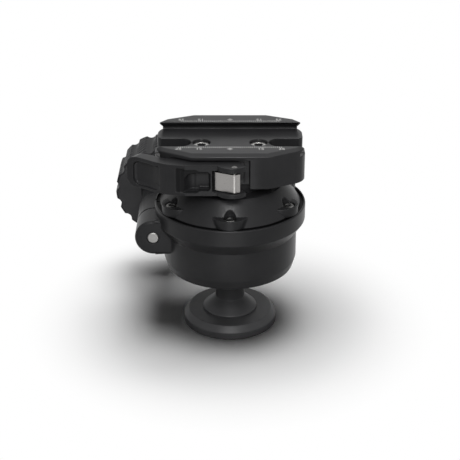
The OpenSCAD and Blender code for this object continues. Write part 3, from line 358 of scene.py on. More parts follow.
def dark_zinc(colours):
    """Screws with a dark zinc plating: smoky grey metal that shines at its rims."""
    return metal("dark_zinc_plated_steel", [c * 0.5 for c in colours.steel], 0.28, 0.2)


def black_oxide(colours):
    """Steel blackened in a hot bath: dark grey, oily, and paler where the grain stands up; inside the
    screw sockets it is painted shade.
    """
    material, tree, output = new_material("black_oxide_steel_ground")
    if tree is None:
        return material
    where = add_node(tree, "ShaderNodeTexCoord").outputs["Object"]
    # Grinding lines of 0.05 mm, drawn at 0.2 mm
    grain = add_node(tree, "ShaderNodeTexNoise", {
        "Vector": where, "Scale": 1 / (0.2 * MM), "Detail": 3.0}).outputs["Fac"]
    tone = add_node(tree, "ShaderNodeValToRGB", {"Fac": grain})
    tone.color_ramp.elements[0].position = 0.35
    tone.color_ramp.elements[0].color = (*[c * 0.8 for c in colours.black], 1.0)
    tone.color_ramp.elements[1].position = 0.75
    tone.color_ramp.elements[1].color = (*[c * 1.4 for c in colours.black], 1.0)
    shader = add_node(tree, "ShaderNodeBsdfPrincipled", {
        "Base Color": tone.outputs["Color"], "Roughness": 0.36, "IOR": 1.5,
        "Specular IOR Level": 0.3})
    tree.links.new(shader.outputs[0], output.inputs[0])
    return material


def groove_lacquer(colours):
    """Painted shade in the groove of the rim: a matt near black, so that the groove stays a dark
    line.
    """
    return black_anodised("black_groove_painted_shade", [c * 0.25 for c in colours.black], 0.02)


def spring_wire(colours):
    """Drawn spring steel: greyer than the screws, with die lines along the wire."""
    return metal("spring_steel_drawn", [c * 0.6 for c in colours.steel], 0.34, 0.15, "Y")


def acetal(colours):
    """Machined acetal: off-white, waxy, with turning marks of 0.3 mm."""
    material, tree, output = new_material("acetal_turned")
    if tree is None:
        return material
    where = add_node(tree, "ShaderNodeTexCoord").outputs["Object"]
    height = add_node(tree, "ShaderNodeSeparateXYZ", {"Vector": where}).outputs["Z"]
    marks = add_node(tree, "ShaderNodeTexNoise", {
        "W": height, "Scale": 1 / (0.3 * MM), "Detail": 1.0}, noise_dimensions="1D").outputs["Fac"]
    bump = add_node(tree, "ShaderNodeBump", {
        "Height": marks, "Strength": 0.2, "Distance": 0.02 * MM}).outputs["Normal"]
    shader = add_node(tree, "ShaderNodeBsdfPrincipled", {
        "Base Color": (*colours.acetal, 1.0), "Roughness": 0.42, "IOR": 1.48, "Normal": bump,
        "Subsurface Weight": 0.15, "Subsurface Radius": (0.6 * MM, 0.5 * MM, 0.4 * MM)})
    tree.links.new(shader.outputs[0], output.inputs[0])
    return material


def laser_marking(colours):
    """Laser-bleached oxide: matt pale grey, slightly mottled."""
    material, tree, output = new_material("laser_marked_oxide")
    if tree is None:
        return material
    where = add_node(tree, "ShaderNodeTexCoord").outputs["Object"]
    # Pulses of 0.06 mm, drawn at 0.15 mm
    dots = add_node(tree, "ShaderNodeTexNoise", {
        "Vector": where, "Scale": 1 / (0.15 * MM), "Detail": 2.0}).outputs["Fac"]
    tone = add_node(tree, "ShaderNodeValToRGB", {"Fac": dots})
    tone.color_ramp.elements[0].position = 0.3
    tone.color_ramp.elements[0].color = (*[c * 0.7 for c in colours.marking], 1.0)
    tone.color_ramp.elements[1].position = 0.65
    tone.color_ramp.elements[1].color = (*colours.marking, 1.0)
    shader = add_node(tree, "ShaderNodeBsdfPrincipled", {
        "Base Color": tone.outputs["Color"], "Roughness": 0.6, "IOR": 1.5})
    tree.links.new(shader.outputs[0], output.inputs[0])
    return material


# Mesh helpers


def cad_copy(node):
    """A bmesh of a CAD node with its loose triangles merged."""
    bm = bmesh.new()
    bm.from_mesh(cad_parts[node].data)
    bmesh.ops.remove_doubles(bm, verts=bm.verts, dist=MERGE)
    return bm


def round_edges(bm, width, segments=2, angle=28.0, wanted=None):
    """Rounds the edges that are sharper than angle, the inner ones as fillets."""
    edges = [e for e in bm.edges if e.is_manifold and e.calc_face_angle() > math.radians(angle)
             and (wanted is None or wanted(e))]
    bmesh.ops.bevel(
        bm, geom=edges, offset=width, offset_type="OFFSET", affect="EDGES", segments=segments,
        profile=0.5, material=-1, clamp_overlap=False)


def through_modifier(bm, kind, **settings):
    """The shape that one modifier makes of a bmesh."""
    mesh = bpy.data.meshes.new("rough")
    bm.to_mesh(mesh)
    bm.clear()
    rough = bpy.data.objects.new("rough", mesh)
    bpy.context.scene.collection.objects.link(rough)
    modifier = rough.modifiers.new("Shape", kind)
    for name, value in settings.items():
        setattr(modifier, name, value)
    shape = rough.evaluated_get(bpy.context.evaluated_depsgraph_get())
    bm.from_mesh(shape.to_mesh())
    shape.to_mesh_clear()
    bpy.data.objects.remove(rough)
    bpy.data.meshes.remove(mesh)
    return bm


def remeshed(bm, voxel):
    """The same shape with an even mesh all over, so that smoothing rounds every edge alike."""
    return through_modifier(bm, "REMESH", mode="VOXEL", voxel_size=voxel)


def soften(bm, passes):
    """Rounds the edges of an even mesh, as tumbling does."""
    for _ in range(passes):
        bmesh.ops.smooth_vert(
            bm, verts=bm.verts, factor=0.5, use_axis_x=True, use_axis_y=True, use_axis_z=True)


def rise(value, width):
    """A smooth step from nought at zero to one at the width."""
    share = min(max(value / width, 0.0), 1.0)
    return share * share * (3 - 2 * share)


def finish_piece(bm, name, body, material, replaced=()):
    """Makes a smooth-shaded piece of a bmesh, and puts it on its body if one is named."""
    mesh = bpy.data.meshes.new(name)
    bm.to_mesh(mesh)
    bm.free()
    mesh.shade_smooth()
    mesh.set_sharp_from_angle(angle=math.radians(40))
    mesh.materials.append(material)
    piece = bpy.data.objects.new(name, mesh)
    bpy.context.scene.collection.objects.link(piece)
    normals = piece.modifiers.new("Weighted normals", "WEIGHTED_NORMAL")
    normals.keep_sharp = True
    if body:
        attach(piece, body)
    if replaced:
        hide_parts(*replaced)
    return piece


def dress_node(node, material):
    """Gives a CAD node that keeps its shape a better material."""
    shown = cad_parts[node]
    shown.data.materials.clear()
    shown.data.materials.append(material)


def machined(node, name, body, material, width, segments=2):
    """A CAD node's shape with its edges rounded, which then stands for it."""
    bm = cad_copy(node)
    round_edges(bm, width, segments)
    return finish_piece(bm, name, body, material, [node])


def second_finish(piece, material, wanted):
    """Gives another material, either a second finish or painted shade, to the faces whose middle, in
    millimetres, is wanted.
    """
    piece.data.materials.append(material)
    for face in piece.data.polygons:
        if wanted(*(face.center / MM)):
            face.material_index = 1


# Operators


class BALLHEAD_OT_base(bpy.types.Operator):
    """Base disc, stem and the tripod thread in its foot"""

    bl_idname = "ballhead.base"
    bl_label = "Base"

    def execute(self, context):
        sizes, colours = context.scene.ballhead_sizes, context.scene.ballhead_colours
        black = turned_foot(colours)
        bm = cad_copy("base_disc")
        round_edges(bm, sizes.machined_edge, 3, wanted=lambda e: not self.underneath(e))
        round_edges(bm, sizes.fastener_edge, 2, wanted=self.underneath)
        finish_piece(bm, "base_disc_turned", "base", black, ["base_disc"])
        machined("stem", "stem_turned", "base", black, sizes.machined_edge, 3)
        self.thread(sizes, black)
        return {"FINISHED"}

    def underneath(self, edge):
        """Whether an edge lies near the underside of the foot, where edges are close together."""
        return max(v.co.z for v in edge.verts) < 0.6 * MM

    def thread(self, sizes, material):
        """One ridge of the thread, wound up the bore."""
        bm = bmesh.new()
        pitch = sizes.thread_pitch
        # Height of the ridge, and half the width of its foot and crest, as shares of the pitch
        height, foot, crest = 0.54, 0.44, 0.06
        # The foot of the ridge reaches a little into the wall of the bore
        outer = THREAD_RADIUS * MM + 0.02 * MM
        inner = outer - height * pitch
        start = 0.6 * MM
        steps = 48
        turns = int((THREAD_DEPTH * MM - start) / pitch) - 1
        section = [(outer, -foot), (inner, -crest), (inner, crest), (outer, foot)]
        ring = [bm.verts.new((r, 0, start + pitch * (0.5 + h))) for r, h in section]
        edges = [bm.edges.new((ring[i], ring[(i + 1) % 4])) for i in range(4)]
        bmesh.ops.spin(
            bm, geom=ring + edges, cent=(0, 0, 0), axis=(0, 0, 1), dvec=(0, 0, pitch / steps),
            angle=2 * math.pi * turns, steps=steps * turns, use_duplicate=False)
        ends = [e for e in bm.edges if e.is_boundary]
        bmesh.ops.holes_fill(bm, edges=ends, sides=4)
        bmesh.ops.recalc_face_normals(bm, faces=bm.faces)
        finish_piece(bm, "tripod_thread_ridge", "base", material)


class BALLHEAD_OT_ball(bpy.types.Operator):
    """Ball and its two seats"""

    bl_idname = "ballhead.ball"
    bl_label = "Ball and seats"

    def execute(self, context):
        colours = context.scene.ballhead_colours
        dress_node("ball", turned_ball(colours))
        for node in ("lower_ball_seat", "upper_ball_seat"):
            dress_node(node, acetal(colours))
        return {"FINISHED"}


class BALLHEAD_OT_housing(bpy.types.Operator):
    """Split cup round the ball"""

    bl_idname = "ballhead.housing"
    bl_label = "Housing"

    def execute(self, context):
        sizes, colours = context.scene.ballhead_sizes, context.scene.ballhead_colours
        cup = machined("housing", "housing_cup", "head", blasted_black(colours),
                       sizes.machined_edge, 3)
        inner, outer, floor, top = RIM_GROOVE
        # The faces of the groove get painted shade
        second_finish(cup, groove_lacquer(colours),
                      lambda x, y, z: inner < math.hypot(x, y) < outer and floor < z < top)
        return {"FINISHED"}


class BALLHEAD_OT_cap(bpy.types.Operator):
    """Cone with six screw bosses"""

    bl_idname = "ballhead.cap"
    bl_label = "Cap"

    def execute(self, context):
        sizes, colours = context.scene.ballhead_sizes, context.scene.ballhead_colours
        machined("cap", "cap_cone", "head", blasted_black(colours),
                 sizes.machined_edge, 3)
        return {"FINISHED"}


class BALLHEAD_OT_clamp(bpy.types.Operator):
    """Clamp base with the fixed jaw, and the moving jaw"""

    bl_idname = "ballhead.clamp"
    bl_label = "Clamp"

    def execute(self, context):
        sizes, colours = context.scene.ballhead_sizes, context.scene.ballhead_colours
        outline = self.outline(sizes)
        for node, name, body in (
                ("clamp_base", "clamp_base_milled", "head"),
                ("front_jaw", "front_jaw_milled", "jaw")):
            bm = through_modifier(
                cad_copy(node), "BOOLEAN", operation="INTERSECT", solver="EXACT", object=outline)
            bmesh.ops.remove_doubles(bm, verts=bm.verts, dist=MERGE)
            round_edges(bm, sizes.machined_edge, 3)
            finish_piece(bm, name, body, milled_black(colours), [node])
        bpy.data.objects.remove(outline)
        return {"FINISHED"}

    def outline(self, sizes):
        """A tall prism with the plan of the clamp, a hair larger, its upright edges rounded."""
        bm = bmesh.new()
        larger = 1.0006
        low, height = 80 * MM, 40 * MM
        plan = [*CLAMP_CORNERS, *((-x, y) for x, y in reversed(CLAMP_CORNERS))]
        face = bm.faces.new([
            bm.verts.new((x * larger * MM, y * larger * MM, low)) for x, y in plan])
        grown = bmesh.ops.extrude_face_region(bm, geom=[face])["geom"]
        bmesh.ops.translate(
            bm, vec=(0, 0, height), verts=[g for g in grown if isinstance(g, bmesh.types.BMVert)])
        bmesh.ops.recalc_face_normals(bm, faces=bm.faces)
        # The end corners first, then those at the feet of the slants, each beyond a distance in X
        for width, segments, near in (
                (sizes.end_corner, 6, 36 * MM), (sizes.slant_corner, 3, 32 * MM)):
            upright = [e for e in bm.edges
                       if abs(e.verts[0].co.z - e.verts[1].co.z) > height - 1 * MM
                       and near < abs(e.verts[0].co.x) and e.calc_face_angle() > math.radians(12)]
            bmesh.ops.bevel(
                bm, geom=upright, offset=width, offset_type="OFFSET", affect="EDGES",
                segments=segments, profile=0.5, material=-1)
        mesh = bpy.data.meshes.new("outline")
        bm.to_mesh(mesh)
        bm.free()
        outline = bpy.data.objects.new("outline", mesh)
        bpy.context.scene.collection.objects.link(outline)
        return outline


class BALLHEAD_OT_scales(bpy.types.Operator):
    """Millimetre scales on both jaws"""

    bl_idname = "ballhead.scales"
    bl_label = "Jaw scales"

    def execute(self, context):
        sizes, colours = context.scene.ballhead_sizes, context.scene.ballhead_colours
        material = laser_marking(colours)
        for side, body, name in ((-1, "jaw", "front_jaw_scale"), (1, "head", "rear_jaw_scale")):
            bm = bmesh.new()
            self.ticks(bm, sizes)
            self.centre_mark(bm)
            for x in FIGURES:
                self.figure(bm, sizes, abs(x), x)
            turn = Matrix.Rotation(math.pi if side > 0 else 0, 4, "Z")
            bmesh.ops.transform(bm, matrix=turn, verts=bm.verts)
            finish_piece(bm, name, body, material)
        return {"FINISHED"}

    def plate(self, bm, x, y, width, length):
        """A mark as a thin raised plate, x and y in millimetres."""
        made = bmesh.ops.create_cube(bm, size=1)["verts"]
        bmesh.ops.scale(bm, vec=(width, length, MARK_HEIGHT * MM), verts=made)
        bmesh.ops.translate(bm, vec=(x * MM, y * MM, JAW_TOP * MM), verts=made)

    def ticks(self, bm, sizes):
        """Lines every millimetre from the inner edge of the jaw, longer every five."""
        for x in range(-SCALE_END, SCALE_END + 1):
            length = LONG_TICK if x % 5 == 0 else SHORT_TICK
            self.plate(bm, x, TICK_Y - length / 2, sizes.tick, length * MM)

    def centre_mark(self, bm):
        """Ring with a cross at the middle of the scale."""
        radius, wider, arm, line = 0.85 * MM, 1.2, 2.8 * MM, 0.3 * MM
        made = bmesh.ops.create_circle(bm, cap_ends=False, radius=radius, segments=32)["verts"]
        rim = list({e for v in made for e in v.link_edges})
        grown = bmesh.ops.extrude_edge_only(bm, edges=rim)["geom"]
        outer = [g for g in grown if isinstance(g, bmesh.types.BMVert)]
        bmesh.ops.scale(bm, vec=(wider, wider, 1), verts=outer)
        bmesh.ops.translate(bm, vec=self.on_jaw(0), verts=made + outer)
        self.plate(bm, 0, FIGURE_Y, arm, line)
        self.plate(bm, 0, FIGURE_Y, line, arm)

    def on_jaw(self, x):
        """Place in the row of figures, level with the top of the marks."""
        return x * MM, FIGURE_Y * MM, (JAW_TOP + MARK_HEIGHT / 2) * MM

    def figure(self, bm, sizes, value, x):
        """A number below its tick, as a flat mesh."""
        curve = bpy.data.curves.new("figure", "FONT")
        curve.body = str(value)
        # The figures of the font are 0.7 of its size high
        curve.size = sizes.figure / 0.7
        curve.align_x = "CENTER"
        curve.align_y = "CENTER"
        text = bpy.data.objects.new("figure", curve)
        bpy.context.scene.collection.objects.link(text)
        shape = text.to_mesh()
        start = len(bm.verts)
        bm.from_mesh(shape)
        text.to_mesh_clear()
        bpy.data.objects.remove(text)
        bm.verts.ensure_lookup_table()
        bmesh.ops.translate(bm, vec=self.on_jaw(x), verts=bm.verts[start:])


class BALLHEAD_OT_lever(bpy.types.Operator):
    """Cam lever with finger scoop and thumb dish"""

    bl_idname = "ballhead.lever"
    bl_label = "Lever"

    def execute(self, context):
        sizes, colours = context.scene.ballhead_sizes, context.scene.ballhead_colours
        bm = remeshed(cad_copy("lever"), LEVER_VOXEL)
        self.dish(bm, sizes.dish)
        self.deepen_scoop(bm, sizes.scoop)
        soften(bm, sizes.softened_edge)
        arm = finish_piece(
            bm, "lever_arm", "lever", blasted_black(colours), ["lever"])
        # The painted shade of the scoop runs from just behind the front face to just behind the ledge
        first = SCOOP_Y[0] + 0.12
        last = SCOOP_Y[0] + SCOOP_LEDGE * (1 + sizes.scoop) + 0.15
        second_finish(arm, pocket_black(colours),
                      lambda x, y, z: self.in_scoop(x, z) and first < y < last)
        return {"FINISHED"}

    def dish(self, bm, depth):
        """Deepens the hollow in the tail, full at its tip end and shallow towards the arm."""
        middle = Vector((*TAIL_MID, 0)) * MM
        along = Vector((*TAIL_DIRECTION, 0))
        inwards = Vector((along.y, -along.x, 0))
        low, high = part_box("lever")
        # The hollow keeps a rim above and below, and ends at the tip and at the arm
        rim = (high.z - low.z) / 2 - 1.3 * MM
        tip, arm = 8.6 * MM, 11 * MM
        # Only faces on the outer side of the tail, no further in than this, belong to it
        outer_side = 3 * MM
        bm.normal_update()
        for vert in bm.verts:
            off = vert.co - middle
            run, height = off.dot(along), abs(vert.co.z - LEVER_MID_Z * MM)
            if vert.normal.dot(inwards) > -0.5 or off.dot(inwards) > outer_side:
                continue
            share = (rise(rim - height, width=2 * MM) * rise(tip - run, width=2.2 * MM)
                     * rise(run + arm, width=9 * MM))
            vert.co += inwards * depth * share

    def in_scoop(self, x, z):
        """Whether a place of the lever, in millimetres, is within the outline of the scoop."""
        return SCOOP_X[0] < x < SCOOP_X[1] and abs(z - LEVER_MID_Z) < SCOOP_HALF_HEIGHT

    def deepen_scoop(self, bm, share):
        """Deepens the finger scoop in the front face by a share of its depth."""
        front, floor = SCOOP_Y
        for vert in bm.verts:
            x, y, z = vert.co / MM
            if front < y < floor and self.in_scoop(x, z):
                vert.co.y += share * (y - front) * MM


class BALLHEAD_OT_latch(bpy.types.Operator):
    """Silver latch in the lever"""

    bl_idname = "ballhead.latch"
    bl_label = "Latch"

    def execute(self, context):
        sizes, colours = context.scene.ballhead_sizes, context.scene.ballhead_colours
        bm = remeshed(cad_copy("latch"), LATCH_VOXEL)
        soften(bm, 2 * sizes.softened_edge)
        finish_piece(
            bm, "latch_rocker", "latch", silver_anodised(colours), ["latch"])
        return {"FINISHED"}


class BALLHEAD_OT_knob(bpy.types.Operator):
    """Lock knob with grooved pads, and its end plug"""

    bl_idname = "ballhead.knob"
    bl_label = "Knob"

    def execute(self, context):
        sizes, colours = context.scene.ballhead_sizes, context.scene.ballhead_colours
        bm = bmesh.new()
        centre = Vector((LOCK_AXIS[0], 0, LOCK_AXIS[1])) * MM
        start = [bm.verts.new(centre + Vector((0, y, r)) * MM) for r, y in self.outline()]
        edges = [bm.edges.new(pair) for pair in zip(start, start[1:])]
        bmesh.ops.spin(
            bm, geom=start + edges, cent=centre, axis=(0, 1, 0), angle=2 * math.pi,
            steps=32 * sizes.pads, use_merge=True)
        bmesh.ops.remove_doubles(bm, verts=bm.verts, dist=MERGE)
        bmesh.ops.recalc_face_normals(bm, faces=bm.faces)
        self.cut_pads(bm, centre, sizes)
        grip = finish_piece(
            bm, "knob_grip", "knob", knurled_black(colours), ["knob"])
        # The faces that lie in one of the two end planes of the grip
        second_finish(grip, turned_knob(colours), lambda x, y, z: min(
            abs(y - GRIP_Y), abs(y - GRIP_END_Y)) < 0.02)
        machined("knob_end_cap", "knob_end_plug", "knob",
                 turned_plug(colours), sizes.machined_edge, 3)
        return {"FINISHED"}

    def outline(self):
        """Half section as (radius, y) in millimetres, from the end of the bore to the recess."""
        bore, bore_end = LOCK_BORE
        points = [(0, bore_end), (bore, bore_end), (bore, HUB_Y + 0.4), (bore + 0.4, HUB_Y)]
        # The end of the hub, rounded, and the fillet between the hub and the grip
        points += [(HUB_RADIUS - 0.5, HUB_Y), (HUB_RADIUS - 0.15, HUB_Y + 0.15)]
        points += [(HUB_RADIUS, HUB_Y + 0.5), (HUB_RADIUS, GRIP_Y - 1.2)]
        points += [(HUB_RADIUS + 0.35, GRIP_Y - 0.35), (HUB_RADIUS + 1.2, GRIP_Y)]
        points += [(16, GRIP_Y), (FACE_RADIUS, GRIP_Y)]
        # Closer rows where the valleys cut into the face
        step = 0.45
        points += [(FACE_RADIUS + step * i, GRIP_Y) for i in range(1, 5)]
        # The chamfer, rounded where it meets the face and the wall
        edge_end = 1.1
        edge = [(22.6, 0), (22.83, 0.06), (23.02, 0.2), (23.5, 0.68), (23.64, 0.87),
                (GRIP_RADIUS, edge_end)]
        points += [(r, GRIP_Y + y) for r, y in edge]
        rows = 76
        first, last = GRIP_Y + edge_end, GRIP_END_Y - edge_end
        points += [(GRIP_RADIUS, first + (last - first) * i / rows) for i in range(1, rows)]
        points += [(r, GRIP_END_Y - y) for r, y in reversed(edge)]
        points += [(FACE_RADIUS + step * i, GRIP_END_Y) for i in range(4, -1, -1)]
        # The recess of the plug, a little larger than the plug
        wall, floor = PLUG_RADIUS + 0.05, PLUG_Y - 0.05
        points += [(PLUG_RADIUS + 0.5, GRIP_END_Y), (PLUG_RADIUS + 0.2, GRIP_END_Y - 0.12)]
        points += [(wall, GRIP_END_Y - 0.4), (wall, floor), (0, floor)]
        return points

    def cut_pads(self, bm, centre, sizes):
        """Draws in the rim of the grip at each valley, and along the grooves of each pad."""
        inner = FACE_RADIUS
        # Reach of the rounding of a valley's lips, and how far it draws them in
        lip, lip_drop = 0.6, 0.15
        # Plain ends of the pads, run-out of the grooves and flat share of their bottom
        plain, run_out, bottom = 1.6, 0.8, 0.25
        cutter = GRIP_RADIUS - VALLEY_DEPTH + VALLEY_RADIUS
        pad_turn = 2 * math.pi / sizes.pads
        for vert in bm.verts:
            off = (vert.co - centre) / MM
            radius = math.hypot(off.x, off.z)
            if radius <= inner or not GRIP_Y - 0.1 < off.y < GRIP_END_Y + 0.1:
                continue
            turn = math.atan2(off.x, off.z)
            pad = round(turn / pad_turn)
            past_valley = pad_turn / 2 - abs(turn - pad * pad_turn)
            reach = GRIP_RADIUS
            across = cutter * math.sin(past_valley)
            if across < VALLEY_RADIUS:
                half_chord = math.sqrt(VALLEY_RADIUS ** 2 - across ** 2)
                valley = cutter * math.cos(past_valley) - half_chord
                blend = max(lip - abs(valley - GRIP_RADIUS), 0) / lip
                reach = min(valley, GRIP_RADIUS) - lip_drop * blend * blend
            if radius > GRIP_RADIUS - 0.01:
                slant = (off.y - GRIP_Y) - (turn - pad * pad_turn) * GRIP_RADIUS
                place = slant / (sizes.groove_pitch / MM)
                aside = abs(place - round(place)) * sizes.groove_pitch / (sizes.groove_width / 2)
                ends = (rise(off.y - GRIP_Y - plain, run_out)
                        * rise(GRIP_END_Y - plain - off.y, run_out))
                depth = ends * sizes.groove_depth / MM * (1 - rise(aside - bottom, 1 - bottom))
                reach = min(reach, GRIP_RADIUS - depth)
            drawn = inner + (radius - inner) * (reach - inner) / (GRIP_RADIUS - inner)
            vert.co = centre + Vector((off.x * drawn / radius, off.y, off.z * drawn / radius)) * MM


class BALLHEAD_OT_fasteners(bpy.types.Operator):
    """Screws, pins, washers and the draw bolt"""

    bl_idname = "ballhead.fasteners"
    bl_label = "Fasteners"

    def execute(self, context):
        sizes, colours = context.scene.ballhead_sizes, context.scene.ballhead_colours
        steel, ground, zinc = stainless(colours), ground_steel(colours), dark_zinc(colours)
        for node, body, finish in (
                ("base_screws", "base", steel), ("cap_screws", "head", zinc),
                ("clamp_screws", "head", steel), ("latch_pin", "lever", ground),
                ("lock_screw", "knob", ground), ("thrust_washer", "knob_slide", steel)):
            piece = machined(
                node, node + "_finished", body, finish, sizes.fastener_edge, 2)
            if node in SOCKETS:
                # Shade is painted inside the sockets with the black oxide material
                self.darken_sockets(piece, SOCKETS[node], black_oxide(colours))
        for node in ("ball_washer", "ball_screw", "clamp_dowels", "jaw_guide_pins"):
            dress_node(node, steel)
        for node in ("draw_bolt", "draw_nut", "wear_plate", "lever_pin"):
            dress_node(node, black_oxide(colours))
        return {"FINISHED"}

    def darken_sockets(self, piece, socket, material):
        """Paints shade inside each hexagon socket, given by its places, radius and depth."""
        places, radius, depth = socket
        top = max(v.co.z for v in piece.data.vertices) / MM
        # The shade is painted up to here; the rim of the socket above stays bright
        rim = top - 0.25
        second_finish(piece, material, lambda x, y, z: top - depth < z < rim and any(
            math.hypot(x - a, y - b) < radius for a, b in places))


class BALLHEAD_OT_springs(bpy.types.Operator):
    """Coil springs of the jaw and the latch"""

    bl_idname = "ballhead.springs"
    bl_label = "Springs"

    def execute(self, context):
        wire = spring_wire(context.scene.ballhead_colours)
        for node, sides, spring, still, moving in (
                ("jaw_springs", (-1, 1), JAW_SPRING, "head", "jaw"),
                ("latch_spring", (0,), LATCH_SPRING, "lever", "latch")):
            low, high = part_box(node)
            middle = (low + high) / 2
            bm = bmesh.new()
            for side in sides:
                reach = (high.x - low.x) / 2 - (spring[0] + spring[1]) * MM
                self.coil(bm, (middle.x + side * reach, low.y, middle.z), high.y - low.y, spring)
            bmesh.ops.recalc_face_normals(bm, faces=bm.faces)
            piece = finish_piece(bm, node + "_wound", "", wire, [node])
            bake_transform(piece)
        return {"FINISHED"}

    def coil(self, bm, start, length, spring):
        """Winds one round wire along +Y from its start."""
        radius, wire, turns = spring[0] * MM, spring[1] * MM, spring[2]
        ring = bmesh.ops.create_circle(bm, cap_ends=False, radius=wire, segments=10)["verts"]
        bmesh.ops.translate(bm, vec=Vector(start) + Vector((radius, wire, 0)), verts=ring)
        edges = list({e for v in ring for e in v.link_edges})
        steps = 28 * turns
        bmesh.ops.spin(
            bm, geom=ring + edges, cent=start, axis=(0, 1, 0), angle=2 * math.pi * turns,
            dvec=(0, (length - 2 * wire) / steps, 0), steps=steps, use_duplicate=False)
        bmesh.ops.holes_fill(bm, edges=[e for e in bm.edges if e.is_boundary], sides=10)


class BALLHEAD_OT_stage(bpy.types.Operator):
    """Pale floor, soft studio light and the camera"""

    bl_idname = "ballhead.stage"
    bl_label = "Stage"

    def execute(self, context):
        scene = context.scene
        scene.view_settings.view_transform = "Standard"
        floor = self.floor()
        self.world(scene)
        self.floor_light(floor)
        front = self.softbox("front_softbox", place=(0.0, -1.0, 0.75), size=0.5, power=12.0)
        sheen = self.softbox("sheen_softbox", place=(0.0, -0.9, 0.9), size=0.3, power=4.0)
        sheen.visible_diffuse = False
        lamps = [self.overhead_light(), front, sheen, self.reflector_card()]
        self.share_light("floor_left_out", lamps, floor, "EXCLUDE")
        camera = bpy.data.objects.new("camera", bpy.data.cameras.new("camera"))
        camera.location = (0, -0.559, 0.3198)
        camera.rotation_euler = (math.radians(64.36), 0, 0)
        camera.data.lens = 93.68
        camera.data.sensor_width = 36
        camera.data.clip_start = 0.01
        scene.collection.objects.link(camera)
        scene.camera = camera
        return {"FINISHED"}

    def floor(self):
        """White paper, which goes over into the background away from the head."""
        bm = bmesh.new()
        bmesh.ops.create_grid(bm, x_segments=1, y_segments=1, size=6)
        mesh = bpy.data.meshes.new("floor")
        bm.to_mesh(mesh)
        bm.free()
        floor = bpy.data.objects.new("floor", mesh)
        bpy.context.scene.collection.objects.link(floor)
        material, tree, output = new_material("white_paper_floor")
        mesh.materials.append(material)
        seen = self.seen_directly(tree)
        whiteness = add_node(tree, "ShaderNodeMapRange", {
            "Value": seen, "To Min": 0.7, "To Max": 1.0})
        paper = add_node(tree, "ShaderNodeBsdfDiffuse", {"Color": whiteness.outputs[0]})
        # Outside the shadow the paper goes over into the white background
        where = add_node(tree, "ShaderNodeTexCoord").outputs["Object"]
        radius = add_node(tree, "ShaderNodeVectorMath", {
            0: where}, operation="LENGTH").outputs["Value"]
        far = add_node(tree, "ShaderNodeMapRange", {
            "Value": radius, "From Min": 0.06, "From Max": 0.11},
            interpolation_type="SMOOTHSTEP").outputs["Result"]
        share = add_node(tree, "ShaderNodeMath", {0: far, 1: seen}, operation="MULTIPLY").outputs[0]
        white = add_node(tree, "ShaderNodeEmission", {"Color": (1, 1, 1, 1), "Strength": 1.0})
        mixed = add_node(tree, "ShaderNodeMixShader", {
            0: share, 1: paper.outputs[0], 2: white.outputs[0]})
        tree.links.new(mixed.outputs[0], output.inputs[0])
        return floor

    def seen_directly(self, tree):
        """One for rays from the camera, a reflection or glass, and nought for the rest."""
        path = add_node(tree, "ShaderNodeLightPath").outputs
        either = add_node(tree, "ShaderNodeMath", {
            0: path["Is Camera Ray"], 1: path["Is Glossy Ray"]}, operation="MAXIMUM").outputs[0]
        return add_node(tree, "ShaderNodeMath", {
            0: either, 1: path["Is Transmission Ray"]}, operation="MAXIMUM").outputs[0]

    def world(self, scene):
        """White to the camera and in reflections, and only a faint light for the rest."""
        world = bpy.data.worlds.new("studio")
        world.use_nodes = True
        scene.world = world
        tree = world.node_tree
        tree.nodes.clear()
        strength = add_node(tree, "ShaderNodeMapRange", {
            "Value": self.seen_directly(tree), "To Min": 0.04, "To Max": 1.0})
        light = add_node(tree, "ShaderNodeBackground", {
            "Color": (1, 1, 1, 1), "Strength": strength.outputs[0]})
        add_node(tree, "ShaderNodeOutputWorld", {"Surface": light.outputs[0]})

    def overhead_light(self):
        """A wide even light from above, slightly from the right and from behind."""
        data = bpy.data.lights.new("overhead_light", "SUN")
        data.angle = math.radians(80)
        data.energy = 0.75 * math.pi
        lamp = bpy.data.objects.new("overhead_light", data)
        lamp.rotation_euler = (math.radians(-2), math.radians(4), 0)
        bpy.context.scene.collection.objects.link(lamp)
        return lamp

    def reflector_card(self):
        """A card on the floor in front of the head, which its upright faces mirror."""
        data = bpy.data.lights.new("reflector_card", "AREA")
        data.shape = "RECTANGLE"
        data.size = 0.1
        data.size_y = 0.2
        data.energy = 0.14
        lamp = bpy.data.objects.new("reflector_card", data)
        lamp.location = (0, -0.22, 0.002)
        lamp.rotation_euler = (math.pi, 0, 0)
        lamp.visible_camera = False
        lamp.visible_diffuse = False
        bpy.context.scene.collection.objects.link(lamp)
        return lamp

    def floor_light(self, floor):
        """A round soft box above the head that lights the floor alone and gives it its shadow."""
        data = bpy.data.lights.new("floor_light", "AREA")
        data.shape = "DISK"
        data.size = 0.22
        data.energy = 1.14
        lamp = bpy.data.objects.new("floor_light", data)
        lamp.location = (0, 0, 0.34)
        lamp.visible_camera = False
        lamp.visible_glossy = False
        bpy.context.scene.collection.objects.link(lamp)
        self.share_light("floor_alone", [lamp], floor, "INCLUDE")

    def share_light(self, name, lamps, floor, state):
        """Lets the lamps light the floor alone, or all but the floor."""
        group = bpy.data.collections.new(name)
        group.objects.link(floor)
        group.collection_objects[0].light_linking.link_state = state
        for lamp in lamps:
            lamp.light_linking.receiver_collection = group

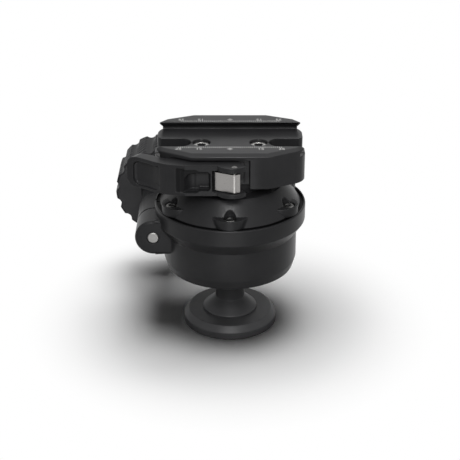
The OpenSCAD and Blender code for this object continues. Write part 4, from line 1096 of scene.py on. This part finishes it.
    def softbox(self, name, place, size, power):
        """A square soft box that faces the head."""
        data = bpy.data.lights.new(name, "AREA")
        data.shape = "SQUARE"
        data.size = size
        data.energy = power
        lamp = bpy.data.objects.new(name, data)
        lamp.location = place
        aim = Vector(HEAD_MIDDLE) - Vector(place)
        lamp.rotation_euler = aim.to_track_quat("-Z", "Y").to_euler()
        bpy.context.scene.collection.objects.link(lamp)
        return lamp


class BALLHEAD_PT_panel(bpy.types.Panel):
    """Lists the pieces of the ball head"""

    bl_label = "Ball head"
    bl_idname = "BALLHEAD_PT_panel"
    bl_space_type = "VIEW_3D"
    bl_region_type = "UI"
    bl_category = "Ball head"

    def draw(self, context):
        for operator in OPERATORS:
            self.layout.operator(operator.bl_idname)
        for group in (context.scene.ballhead_sizes, context.scene.ballhead_colours):
            for name in group.__annotations__:
                self.layout.prop(group, name)


OPERATORS = (
    BALLHEAD_OT_base, BALLHEAD_OT_ball, BALLHEAD_OT_housing, BALLHEAD_OT_cap, BALLHEAD_OT_clamp,
    BALLHEAD_OT_scales, BALLHEAD_OT_lever, BALLHEAD_OT_latch, BALLHEAD_OT_knob,
    BALLHEAD_OT_fasteners, BALLHEAD_OT_springs, BALLHEAD_OT_stage,
)
CLASSES = (BallHeadSizes, BallHeadColours, *OPERATORS, BALLHEAD_PT_panel)


def register():
    for cls in CLASSES:
        bpy.utils.register_class(cls)
    bpy.types.Scene.ballhead_sizes = PointerProperty(type=BallHeadSizes)
    bpy.types.Scene.ballhead_colours = PointerProperty(type=BallHeadColours)


def unregister():
    del bpy.types.Scene.ballhead_colours
    del bpy.types.Scene.ballhead_sizes
    for cls in reversed(CLASSES):
        bpy.utils.unregister_class(cls)


def main():
    register()
    bpy.ops.ballhead.stage()
    bpy.ops.ballhead.base()
    bpy.ops.ballhead.ball()
    bpy.ops.ballhead.housing()
    bpy.ops.ballhead.cap()
    bpy.ops.ballhead.clamp()
    bpy.ops.ballhead.scales()
    bpy.ops.ballhead.lever()
    bpy.ops.ballhead.latch()
    bpy.ops.ballhead.knob()
    bpy.ops.ballhead.fasteners()
    bpy.ops.ballhead.springs()


if __name__ == "__main__":
    main()
